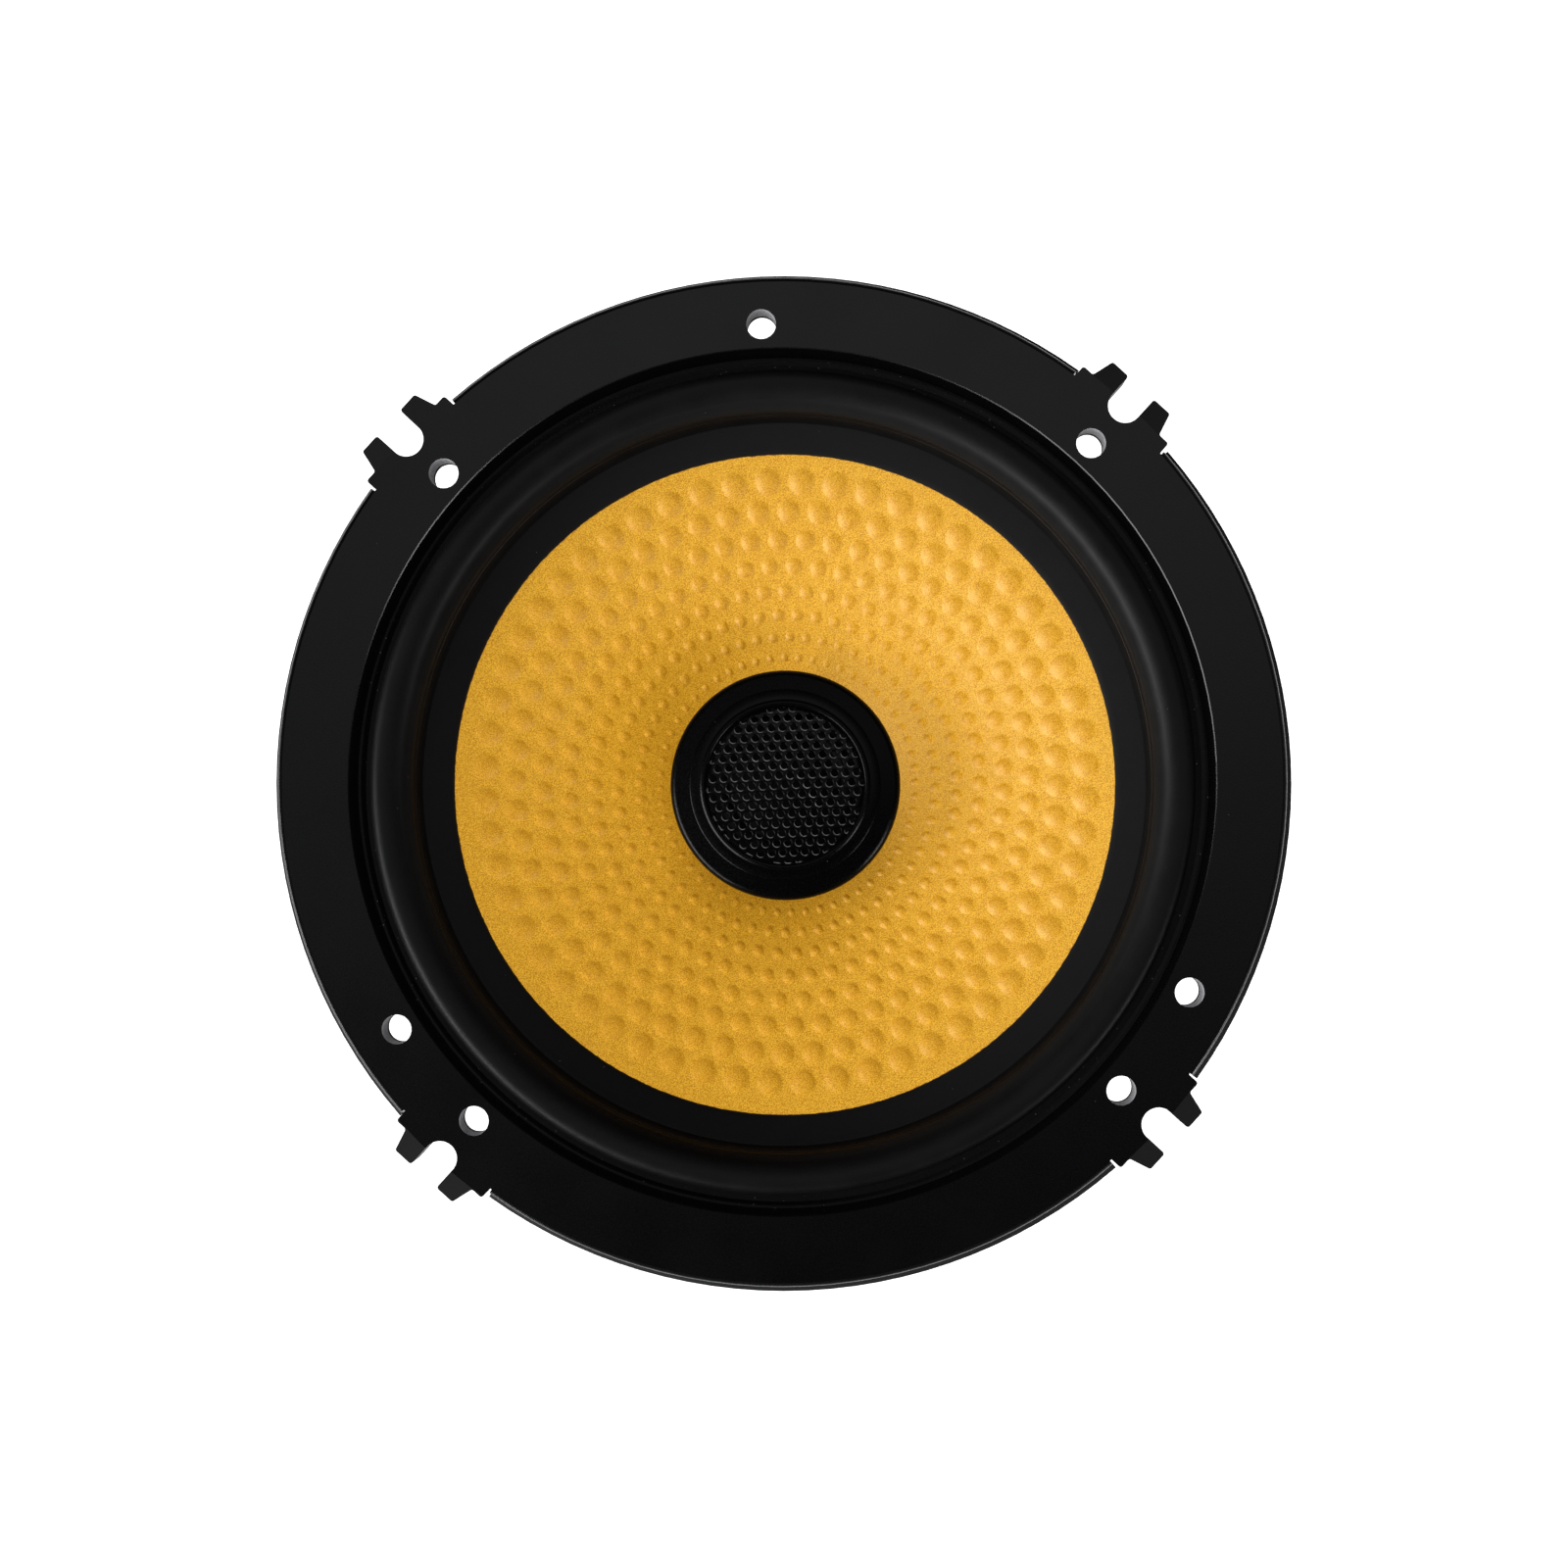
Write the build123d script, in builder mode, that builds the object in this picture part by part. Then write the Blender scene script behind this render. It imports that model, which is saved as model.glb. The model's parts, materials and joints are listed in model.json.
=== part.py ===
from build123d import *
import os
from math import cos, hypot, radians, sin, sqrt, tan

# Coaxial car speaker, 165 mm class. Millimetres, +Z towards the listener.
# Origin: on the speaker's axis, in the plane where its rim and gasket meet the panel.

os.makedirs("parts", exist_ok=True)

# ---------------------------------------------------------------- driving dimensions

# Flange and rim
FACE_Z = 7.0
PLATE_BACK_Z = 3.0
FACE_R = 79.2
RIM_R = 82.5
RIM_FOOT_H = 0.35
RIM_WALL_FOOT = (81.4, 1.0)
RIM_WALL_TOP = (80.05, 6.35)
RIM_BEAD = (79.62, 6.9)
RIM_GROOVE_Z = 6.7
RIM_INNER_R = 80.3
BORE_R = 68.65
BORE_CHAMFER = 0.15
BOWL_R = 70.0
HOLE_CIRCLE_R = 72.5
HOLE_R = 2.35
EAR_START_ANGLE = 45
THIRD_START_ANGLE = 90

# Mounting ears, measured along (u) and across (v) each ear's radius
EAR_TIP_U = 84.3
EAR_TIP_V = 6.1
EAR_SHOULDER_U = 80.7
EAR_SHOULDER_V = 9.1
EAR_FLANK_V = 7.1
EAR_SLOT_R = 2.72
EAR_SLOT_U = 80.5
EAR_SLOT_LENGTH = 6.0
EAR_ROOT_U = 75.5
EAR_EDGE_FILLET = 0.45
RIM_GAP_HALF_ANGLE = 6.8

# Rear gasket
GASKET_GAP = 0.3
GASKET_HOLE_MARGIN = 1.2
GASKET_SLOT_MARGIN = 0.6

# Basket below the flange
LEDGE_Z = -0.6
LEDGE_ROOT_Z = -5.0
LEDGE_R = 66.0
BOWL_CORNER_Z = -7.0
BASE_CORNER_Z = -29.0
SHELF_WALL_H = 1.0
SHELF_R = 36.8
SHELF_Z = -27.3
SHELF_INNER_R = 31.5
BASE_Z = -33.3
BASE_TOP_Z = -30.8
BASE_R = 38.5
BASE_INNER_R = 24.0
ARM_COUNT = 6
ARM_START_ANGLE = 30
WINDOW_IN_R = 43.0
WINDOW_OUT_R = 64.5
WINDOW_HALF_ANGLE = 20.5
WINDOW_FILLET = 2.5
RIB_HALF_WIDTH = 1.2
RIB_FOOT_Z = -31.5
RIB_FOOT_TOP_Z = -28.0
RIB_HEAD_Z = -9.8
RIB_HEAD_TOP_Z = -6.0
BOSS_IN_R = 50.0
BOSS_OUT_R = 57.0
BOSS_IN_Z = -18.8
BOSS_OUT_Z = -14.0
BOSS_HALF_WIDTH = 5.0

# Cone and surround
CONE_EDGE = (59.2, -3.4)
CONE_MIDDLE = (35.5, -12.6)
CONE_NECK = (13.0, -24.5)
CONE_WALL = 0.5
SURROUND_IN_R = 54.8
ROLL_CREST_R = 64.1
ROLL_CREST_Z = 6.0
ROLL_IN_ARC_R = 4.6
ROLL_OUT_ARC_R = 1.9
ROLL_IN_R = ROLL_CREST_R - ROLL_IN_ARC_R
ROLL_OUT_R = ROLL_CREST_R + ROLL_OUT_ARC_R
COLLAR_TOP_Z = 2.3
SURROUND_WALL = 0.5
GLUE_GAP = 0.1

# Voice coil and spider
FORMER_IN_R = 12.75
FORMER_OUT_R = 12.95
FORMER_BACK_Z = -42.5
FORMER_TOP_Z = -23.5
COIL_R = 13.35
COIL_BACK_Z = -41.3
COIL_TOP_Z = -31.3
SPIDER_WALL = 0.5
SPIDER_WAVES = 9
SPIDER_WAVE_HEIGHT = 0.9
SPIDER_IN_R = 14.2
SPIDER_OUT_R = 32.4
SPIDER_COLLAR_H = 1.6

# Motor
TOP_PLATE_H = 6.0
MAGNET_H = 15.0
BACK_PLATE_H = 5.0
GAP_R = 13.7
POLE_R = 12.3
TOP_PLATE_R = 38.5
MAGNET_R = 42.5
MAGNET_IN_R = 17.0
BACK_PLATE_R = 40.0
MAGNET_TOP_Z = BASE_Z - TOP_PLATE_H
MAGNET_BACK_Z = MAGNET_TOP_Z - MAGNET_H
YOKE_BACK_Z = MAGNET_BACK_Z - BACK_PLATE_H
RIVET_CIRCLE_R = 28.5
RIVET_COUNT = 4
RIVET_R = 2.0
RIVET_END_GAP = 0.5
RIVET_HEAD_R = 2.9
RIVET_HEAD_H = 0.8
RUNNING_GAP = 0.05

# Tweeter post and its fixings
POST_BORE_R = 2.2
POST_THREAD_R = 4.0
POST_BACK_Z = YOKE_BACK_Z + 0.7
POST_FOOT_R = 9.5
POST_FOOT_H = 1.6
POST_WAIST_R = 5.5
POST_HEAD_R = 8.0
POST_HEAD_H = 1.5
POST_FLARE_H = 1.0
POST_NECK_R = 3.4
POST_NECK_H = 2.7
NUT_RECESS_R = 9.0
NUT_RECESS_H = 4.5
WASHER_R = 8.0
WASHER_H = 0.8
NUT_FLAT_R = 6.5
NUT_BACK_Z = YOKE_BACK_Z + 1.2
HOUSING_FLOOR_Z = -17.5
HOUSING_FLOOR_H = 1.3
HOUSING_NUT_FLAT_R = 5.0
HOUSING_NUT_H = 1.3

# Tweeter housing and bezel, as points (r, z) of their sections
TWEETER_R = 19.2
HOUSING_SHOULDER = (18.3, -6.2)
HOUSING_BULGE = (TWEETER_R, -7.1)
HOUSING_WAIST = (19.0, -8.4)
HOUSING_FLANK = (15.9, -14.2)
HOUSING_FOOT_R = 9.5
HOUSING_NUT_WELL_R = 6.5
HOUSING_WELL_FOOT_R = 12.6
HOUSING_WELL_TOP_R = 14.2
BEZEL_R = 15.85
BEZEL_SEAT_Z = -8.2
BEZEL_TOP_Z = -5.45
BEZEL_LIP_OUT = (14.0, -4.95)
BEZEL_LIP_TOP = (13.6, -4.87)
BEZEL_LIP_IN_Z = -5.3
BEZEL_STEP_R = 12.4
BEZEL_STEP_Z = -7.45
HOUSING_RIM_Z = -5.6

# Tweeter grille: crown and turned-down edge
GRILLE_R = 13.15
GRILLE_WALL = 0.35
GRILLE_TOP_Z = -5.5
GRILLE_CROWN = (6.4, -5.7)
GRILLE_SHOULDER = (12.6, -6.3)
GRILLE_BEND = (12.98, -6.48)
GRILLE_SKIRT_TOP_Z = -6.9
GRILLE_SKIRT_Z = -7.4
GRILLE_PITCH = 1.85
GRILLE_HOLE_R = 0.6
GRILLE_HOLES_WITHIN_R = 12.1
GRILLE_HOLE_ROWS = range(-7, 8)
GRILLE_HOLE_COLUMNS = range(-8, 9)

# Tweeter motor and diaphragm
DOME_R = 9.55
DOME_WALL = 0.2
DOME_TOP_Z = -6.9
DOME_MIDDLE = (5.0, -7.45)
DOME_EDGE_Z = -9.1
DOME_COIL_IN_R = 9.35
DOME_COIL_OUT_R = 9.7
DOME_COIL_BACK_Z = -11.9
DOME_COIL_TOP_Z = -9.4
DOME_ROLL_GAP = 0.15
DOME_ROLL_OUT_R = 11.6
DOME_ROLL_RISE = 0.8
DOME_ROLL_WALL = 0.15
DOME_RIM_R = 13.0
DOME_FOOT_Z = -9.15
RING_IN_R = 10.3
RING_OUT_R = 13.2
RING_TOP_Z = -9.3
CUP_FLOOR_Z = -14.6
CUP_TOP_Z = -9.9
CUP_R = 12.2
CUP_IN_R = 10.05
CUP_FLOOR_H = 1.3
TWEETER_MAGNET_R = 8.2
TWEETER_MAGNET_H = 2.0
POLE_PLATE_R = 9.05
POLE_PLATE_H = 1.4

# Terminal board and what it carries
BOARD_TOP_Z = -29.4
BOARD_H = 1.6
BOARD_BACK_Z = BOARD_TOP_Z - BOARD_H
BOARD_IN_Y = -46.0
BOARD_OUT_Y = -64.0
BOARD_HALF_WIDTH = 19.0
TERMINAL_X = 13.0
TERMINAL_RIVET_Y = -56.0
TERMINAL_ROOT_Y = -52.0
TERMINAL_TIP_Y = -69.0
TERMINAL_H = 0.8
POSITIVE_WIDTH = 6.3
POSITIVE_CHAMFER = 1.2
POSITIVE_DIMPLE_R = 0.9
NEGATIVE_WIDTH = 4.8
NEGATIVE_CHAMFER = 1.0
NEGATIVE_DIMPLE_R = 0.7
TERMINAL_DIMPLE_Y = TERMINAL_TIP_Y + 4.0
BOARD_SCREW_X = 2.8
BOARD_SCREW_Y = -53.5
BOARD_SCREW_R = 1.2
BOARD_SCREW_LENGTH = 7.0
BOARD_SCREW_HEAD_R = 2.2
BOARD_SCREW_HEAD_H = 0.9
BOARD_CORNER_R = 2.0
BOARD_RIVET_R = 1.2
BOARD_RIVET_HEAD_R = 2.0
BOARD_RIVET_BACK_H = 0.8
BOARD_RIVET_TOP_H = 0.7
CAPACITOR_R = 5.0
CAPACITOR_HALF_LENGTH = 7.8
CAPACITOR_Y = -56.0
CAPACITOR_Z = BOARD_BACK_Z - 1.0 - CAPACITOR_R
CAPACITOR_EDGE_R = 0.8
LEAD_R = 0.4
LEAD_REACH = 1.9
LEAD_BEND_R = 1.0

# Wires
TWEETER_WIRE_R = 0.6
TWEETER_WIRE_X = 0.75
TWEETER_WIRE_BEND_R = 2.4
TWEETER_WIRE_LOOSE_BEND_R = 3.5
WIRE_START_Z = HOUSING_FLOOR_Z + 2.5
WIRE_CHANNEL_Z = YOKE_BACK_Z - 1.1
WIRE_CHANNEL_Y = -(MAGNET_R + 1.4)
WIRE_TOP_Z = MAGNET_TOP_Z + 1.0
WIRE_BOARD_X = 2.5
WIRE_BOARD_Y = -48.5
WIRE_BOARD_RISE = 4.0
TINSEL_R = 0.6
TINSEL_ROOT_Y = -53.2
TINSEL_RISE_Z = -22.5
TINSEL_ARCH = (12.0, -44.0, -17.8)
TINSEL_DIP = (10.0, -31.0, -21.6)
TINSEL_END_X = 9.0
TINSEL_END_Y = -23.5
TINSEL_RADII = [4.5, 9.0, 9.0]

# Rubber boot round the magnet
BOOT_R = 45.3
BOOT_BACK_Z = YOKE_BACK_Z - 3.0
BOOT_TOP_Z = MAGNET_TOP_Z - 0.5
BOOT_HOLE_R = 13.0
BOOT_EDGE = 2.0
CHANNEL_WIDTH = 3.4
CHANNEL_DEPTH = 2.0
CHANNEL_END_Y = -45.3
CHANNEL_START_Y = -2.5
RIDGE_WIDTH = 6.0
RIDGE_IN_Y = -43.1
RIDGE_OUT_Y = -46.7
RIDGE_EDGE_R = 1.2


# ---------------------------------------------------------------- helpers

cone_edge = Edge.make_three_point_arc(
    (CONE_NECK[0], CONE_NECK[1], 0), (CONE_MIDDLE[0], CONE_MIDDLE[1], 0), (CONE_EDGE[0], CONE_EDGE[1], 0)
)
CONE_ARC_CENTRE = cone_edge.arc_center
CONE_ARC_R = cone_edge.radius


def cone_point(r, lift):
    """A point of the cone's section at radius r, lifted off its front face along the normal."""
    return r, CONE_ARC_CENTRE.Y + sqrt((CONE_ARC_R + lift) ** 2 - (r - CONE_ARC_CENTRE.X) ** 2)


def cone_curve(r_start, r_end, lift):
    """The three points of the arc that runs along the cone at a lift, from one radius to another."""
    return [cone_point(r, lift) for r in (r_start, (r_start + r_end) / 2, r_end)]


def radial_plane(angle):
    """The upright plane through the axis at an angle, with its x along the radius."""
    across, along = sin(radians(angle)), cos(radians(angle))
    return Plane(origin=(0, 0, 0), x_dir=(along, across, 0), z_dir=(across, -along, 0))


def ring_points(r_in, r_out, z_low, z_high):
    """The four corners of a ring's rectangular section."""
    return [(r_in, z_low), (r_out, z_low), (r_out, z_high), (r_in, z_high)]


def screw_circles(radius, mode=Mode.ADD):
    """A circle at each of the seven screw holes, in the sketch at hand."""
    with PolarLocations(HOLE_CIRCLE_R, 4, start_angle=EAR_START_ANGLE):
        Circle(radius, mode=mode)
    with PolarLocations(HOLE_CIRCLE_R, 3, start_angle=THIRD_START_ANGLE):
        Circle(radius, mode=mode)


def slot_outlines(margin=0.0, mode=Mode.ADD):
    """The open slot of each ear, widened by a margin, in the sketch at hand."""
    with PolarLocations(0, 4, start_angle=EAR_START_ANGLE):
        with Locations((EAR_SLOT_U, 0)):
            Circle(EAR_SLOT_R + margin, mode=mode)
        with Locations((EAR_SLOT_U + EAR_SLOT_LENGTH / 2, 0)):
            Rectangle(EAR_SLOT_LENGTH, 2 * (EAR_SLOT_R + margin), mode=mode)


def wedge(near, far, half_angle):
    """The four corners of a wedge along x, between two distances from the axis."""
    slope = tan(radians(half_angle))
    return [(near, -near * slope), (far, -far * slope), (far, far * slope), (near, near * slope)]


# ---------------------------------------------------------------- basket

with BuildPart() as basket:
    with BuildSketch(Plane.XZ):
        with BuildLine():
            rim_wall_direction = Vector(*RIM_WALL_TOP) - Vector(*RIM_WALL_FOOT)
            Polyline(
                RIM_WALL_TOP,
                RIM_WALL_FOOT,
                (RIM_R, RIM_FOOT_H),
                (RIM_R, 0),
                (RIM_INNER_R, 0),
                (RIM_INNER_R, PLATE_BACK_Z),
                (BOWL_R, PLATE_BACK_Z),
                (BOWL_R, BOWL_CORNER_Z),
                (BASE_R, BASE_CORNER_Z),
                (BASE_R, BASE_Z),
                (BASE_INNER_R, BASE_Z),
                (BASE_INNER_R, BASE_TOP_Z),
                (SHELF_INNER_R, BASE_TOP_Z),
                (SHELF_INNER_R, SHELF_Z),
                (SHELF_R, SHELF_Z),
                (SHELF_R, SHELF_Z + SHELF_WALL_H),
                (LEDGE_R, LEDGE_ROOT_Z),
                (LEDGE_R, LEDGE_Z),
                (BORE_R, LEDGE_Z),
                (BORE_R, FACE_Z - BORE_CHAMFER),
                (BORE_R + BORE_CHAMFER, FACE_Z),
                (FACE_R, FACE_Z),
                (FACE_R, RIM_GROOVE_Z),
                RIM_BEAD,
            )
            TangentArc(RIM_WALL_TOP, RIM_BEAD, tangent=rim_wall_direction)
        make_face()
    revolve(axis=Axis.Z)

    # Windows between the arms
    with BuildSketch(Plane.XY.offset(SHELF_Z)) as windows:
        with PolarLocations(0, ARM_COUNT):
            Polygon(*wedge(WINDOW_IN_R / 2, 2 * WINDOW_OUT_R, WINDOW_HALF_ANGLE), align=None)
        Circle(WINDOW_OUT_R, mode=Mode.INTERSECT)
        Circle(WINDOW_IN_R, mode=Mode.SUBTRACT)
        fillet(windows.vertices(), radius=WINDOW_FILLET)
    extrude(amount=LEDGE_ROOT_Z - SHELF_Z, mode=Mode.SUBTRACT)

    # A stiffening rib down the back of every arm
    for arm in range(ARM_COUNT):
        with BuildSketch(radial_plane(ARM_START_ANGLE + arm * 360 / ARM_COUNT)):
            Polygon(
                (BASE_R - RIB_HALF_WIDTH, RIB_FOOT_TOP_Z),
                (BASE_R - RIB_HALF_WIDTH, RIB_FOOT_Z),
                (BASE_R + RIB_HALF_WIDTH, RIB_FOOT_Z),
                (BOWL_R - RUNNING_GAP, RIB_HEAD_Z),
                (BOWL_R - RUNNING_GAP, RIB_HEAD_TOP_Z),
                align=None,
            )
        extrude(amount=RIB_HALF_WIDTH, both=True)

    # Boss that carries the terminal board, under the arm at the bottom of the speaker
    with BuildSketch(radial_plane(270)):
        Polygon(
            (BOSS_IN_R, BOARD_TOP_Z),
            (BOSS_OUT_R, BOARD_TOP_Z),
            (BOSS_OUT_R, BOSS_OUT_Z),
            (BOSS_IN_R, BOSS_IN_Z),
            align=None,
        )
    extrude(amount=BOSS_HALF_WIDTH, both=True)
    with BuildSketch(Plane.XY.offset(BOARD_TOP_Z)):
        with Locations((-BOARD_SCREW_X, BOARD_SCREW_Y), (BOARD_SCREW_X, BOARD_SCREW_Y)):
            Circle(BOARD_SCREW_R + RUNNING_GAP)
    extrude(amount=BOARD_SCREW_LENGTH, mode=Mode.SUBTRACT)

    # The rim stops at the ears
    with BuildSketch(Plane.XY):
        with PolarLocations(0, 4, start_angle=EAR_START_ANGLE):
            Polygon(*wedge(BOWL_R, RIM_R + EAR_SLOT_LENGTH, RIM_GAP_HALF_ANGLE), align=None)
        Circle(FACE_R, mode=Mode.SUBTRACT)
    extrude(amount=FACE_Z, mode=Mode.SUBTRACT)

    # Four forked ears
    with BuildSketch(Plane.XY.offset(PLATE_BACK_Z)) as ears:
        with PolarLocations(0, 4, start_angle=EAR_START_ANGLE):
            Polygon(
                (EAR_ROOT_U, -EAR_SHOULDER_V),
                (EAR_SHOULDER_U, -EAR_SHOULDER_V),
                (EAR_SHOULDER_U, -EAR_FLANK_V),
                (EAR_TIP_U, -EAR_TIP_V),
                (EAR_TIP_U, EAR_TIP_V),
                (EAR_SHOULDER_U, EAR_FLANK_V),
                (EAR_SHOULDER_U, EAR_SHOULDER_V),
                (EAR_ROOT_U, EAR_SHOULDER_V),
                align=None,
            )
        slot_outlines(mode=Mode.SUBTRACT)
        corners = [v for v in ears.vertices() if hypot(v.X, v.Y) > EAR_SHOULDER_U - 0.1]
        mouth_r = hypot(EAR_SLOT_U, EAR_SLOT_R)
        fillet([v for v in corners if abs(hypot(v.X, v.Y) - mouth_r) > 0.05], radius=EAR_EDGE_FILLET)
    extrude(amount=FACE_Z - PLATE_BACK_Z)

    # Screw holes and ear slots through the flange, and rivet holes through the base
    with BuildSketch(Plane.XY):
        screw_circles(HOLE_R)
        slot_outlines()
    extrude(amount=FACE_Z, mode=Mode.SUBTRACT)
    with BuildSketch(Plane.XY.offset(BASE_Z)):
        with PolarLocations(RIVET_CIRCLE_R, RIVET_COUNT, start_angle=EAR_START_ANGLE):
            Circle(RIVET_R + RUNNING_GAP)
    extrude(amount=BASE_TOP_Z - BASE_Z, mode=Mode.SUBTRACT)
basket.part.label = "basket"
export_step(basket.part, "parts/basket.step")

with BuildPart() as rear_gasket:
    with BuildSketch(Plane.XY):
        Circle(FACE_R - GASKET_GAP)
        Circle(BOWL_R + GASKET_GAP, mode=Mode.SUBTRACT)
        screw_circles(HOLE_R + GASKET_HOLE_MARGIN, mode=Mode.SUBTRACT)
        slot_outlines(margin=GASKET_SLOT_MARGIN, mode=Mode.SUBTRACT)
    extrude(amount=PLATE_BACK_Z)
rear_gasket.part.label = "rear_gasket"
export_step(rear_gasket.part, "parts/rear_gasket.step")

# ---------------------------------------------------------------- cone and suspension

with BuildPart() as cone:
    with BuildSketch(Plane.XZ):
        with BuildLine():
            front = ThreePointArc(*cone_curve(CONE_NECK[0], CONE_EDGE[0], 0))
            back = ThreePointArc(*cone_curve(CONE_NECK[0], CONE_EDGE[0], -CONE_WALL))
            Line(front @ 0, back @ 0)
            Line(front @ 1, back @ 1)
        make_face()
    revolve(axis=Axis.Z)
cone.part.label = "cone"
export_step(cone.part, "parts/cone.step")

# The surround: a flange glued on the cone, a half roll, and a collar against the bore
with BuildPart() as surround:
    with BuildSketch(Plane.XZ):
        with BuildLine():
            lip_top_z = LEDGE_Z + SURROUND_WALL
            collar_in_r = BORE_R - GLUE_GAP - SURROUND_WALL
            in_spring_z = ROLL_CREST_Z - ROLL_IN_ARC_R
            out_spring_z = ROLL_CREST_Z - ROLL_OUT_ARC_R
            top = ThreePointArc(*cone_curve(SURROUND_IN_R, ROLL_IN_R, GLUE_GAP + SURROUND_WALL))
            under = ThreePointArc(*cone_curve(SURROUND_IN_R, ROLL_IN_R + SURROUND_WALL, GLUE_GAP))
            Line(top @ 0, under @ 0)
            for flange_end, depth in ((top @ 1, 0), (under @ 1, SURROUND_WALL)):
                Line(flange_end, (ROLL_IN_R + depth, in_spring_z))
                CenterArc((ROLL_CREST_R, in_spring_z), ROLL_IN_ARC_R - depth, 90, 90)
                CenterArc((ROLL_CREST_R, out_spring_z), ROLL_OUT_ARC_R - depth, 0, 90)
            Polyline(
                (ROLL_OUT_R, out_spring_z),
                (ROLL_OUT_R, lip_top_z),
                (collar_in_r, lip_top_z),
                (collar_in_r, COLLAR_TOP_Z),
                (BORE_R - GLUE_GAP, COLLAR_TOP_Z),
                (BORE_R - GLUE_GAP, LEDGE_Z),
                (ROLL_OUT_R - SURROUND_WALL, LEDGE_Z),
                (ROLL_OUT_R - SURROUND_WALL, out_spring_z),
            )
        make_face()
    revolve(axis=Axis.Z)
surround.part.label = "surround"
export_step(surround.part, "parts/surround.step")

with BuildPart() as voice_coil_former:
    with BuildSketch(Plane.XZ):
        Polygon(*ring_points(FORMER_IN_R, FORMER_OUT_R, FORMER_BACK_Z, FORMER_TOP_Z), align=None)
    revolve(axis=Axis.Z)
voice_coil_former.part.label = "voice_coil_former"
export_step(voice_coil_former.part, "parts/voice_coil_former.step")

with BuildPart() as voice_coil_winding:
    with BuildSketch(Plane.XZ):
        Polygon(*ring_points(FORMER_OUT_R, COIL_R, COIL_BACK_Z, COIL_TOP_Z), align=None)
    revolve(axis=Axis.Z)
voice_coil_winding.part.label = "voice_coil_winding"
export_step(voice_coil_winding.part, "parts/voice_coil_winding.step")

# The spider: a corrugated cloth disc between the former and the basket's shelf
with BuildPart() as spider:
    with BuildSketch(Plane.XZ):
        with BuildLine():
            collar_r = FORMER_OUT_R + GLUE_GAP
            wave_step = (SPIDER_OUT_R - SPIDER_IN_R) / SPIDER_WAVES
            for face_z in (SHELF_Z, SHELF_Z + SPIDER_WALL):
                for wave in range(SPIDER_WAVES):
                    start_r = SPIDER_IN_R + wave * wave_step
                    height = SPIDER_WAVE_HEIGHT if wave % 2 == 0 else -SPIDER_WAVE_HEIGHT
                    ThreePointArc(
                        (start_r, face_z),
                        (start_r + wave_step / 2, face_z + height),
                        (start_r + wave_step, face_z),
                    )
            Polyline(
                (SPIDER_OUT_R, SHELF_Z),
                (SHELF_R - GLUE_GAP, SHELF_Z),
                (SHELF_R - GLUE_GAP, SHELF_Z + SPIDER_WALL),
                (SPIDER_OUT_R, SHELF_Z + SPIDER_WALL),
            )
            Polyline(
                (SPIDER_IN_R, SHELF_Z),
                (collar_r, SHELF_Z),
                (collar_r, SHELF_Z + SPIDER_COLLAR_H),
                (collar_r + SPIDER_WALL, SHELF_Z + SPIDER_COLLAR_H),
                (collar_r + SPIDER_WALL, SHELF_Z + SPIDER_WALL),
                (SPIDER_IN_R, SHELF_Z + SPIDER_WALL),
            )
        make_face()
    revolve(axis=Axis.Z)
spider.part.label = "spider"
export_step(spider.part, "parts/spider.step")

# ---------------------------------------------------------------- motor

with BuildPart() as top_plate:
    with BuildSketch(Plane.XY.offset(MAGNET_TOP_Z)):
        Circle(TOP_PLATE_R)
        Circle(GAP_R, mode=Mode.SUBTRACT)
        with PolarLocations(RIVET_CIRCLE_R, RIVET_COUNT, start_angle=EAR_START_ANGLE):
            Circle(RIVET_R + RUNNING_GAP, mode=Mode.SUBTRACT)
    extrude(amount=TOP_PLATE_H)
top_plate.part.label = "top_plate"
export_step(top_plate.part, "parts/top_plate.step")

with BuildPart() as magnet_ring:
    with BuildSketch(Plane.XY.offset(MAGNET_BACK_Z)):
        Circle(MAGNET_R)
        Circle(MAGNET_IN_R, mode=Mode.SUBTRACT)
    extrude(amount=MAGNET_H)
magnet_ring.part.label = "magnet_ring"
export_step(magnet_ring.part, "parts/magnet_ring.step")

# Back plate and pole in one forging, bored for the tweeter post
with BuildPart() as yoke:
    with BuildSketch(Plane.XZ):
        bore_r = POST_THREAD_R + RUNNING_GAP
        Polygon(
            (bore_r, YOKE_BACK_Z + NUT_RECESS_H),
            (NUT_RECESS_R, YOKE_BACK_Z + NUT_RECESS_H),
            (NUT_RECESS_R, YOKE_BACK_Z),
            (BACK_PLATE_R - 1, YOKE_BACK_Z),
            (BACK_PLATE_R, YOKE_BACK_Z + 1),
            (BACK_PLATE_R, MAGNET_BACK_Z),
            (POLE_R, MAGNET_BACK_Z),
            (POLE_R, BASE_Z - 0.5),
            (POLE_R - 0.5, BASE_Z),
            (bore_r, BASE_Z),
            align=None,
        )
    revolve(axis=Axis.Z)
yoke.part.label = "yoke"
export_step(yoke.part, "parts/yoke.step")

with BuildPart() as basket_rivets:
    with BuildSketch(Plane.XY.offset(MAGNET_TOP_Z + RIVET_END_GAP)):
        with PolarLocations(RIVET_CIRCLE_R, RIVET_COUNT, start_angle=EAR_START_ANGLE):
            Circle(RIVET_R)
    extrude(amount=BASE_TOP_Z - MAGNET_TOP_Z - RIVET_END_GAP)
    with BuildSketch(Plane.XY.offset(BASE_TOP_Z)):
        with PolarLocations(RIVET_CIRCLE_R, RIVET_COUNT, start_angle=EAR_START_ANGLE):
            Circle(RIVET_HEAD_R)
    extrude(amount=RIVET_HEAD_H, taper=20)
basket_rivets.part.label = "basket_rivets"
export_step(basket_rivets.part, "parts/basket_rivets.step")

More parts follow.
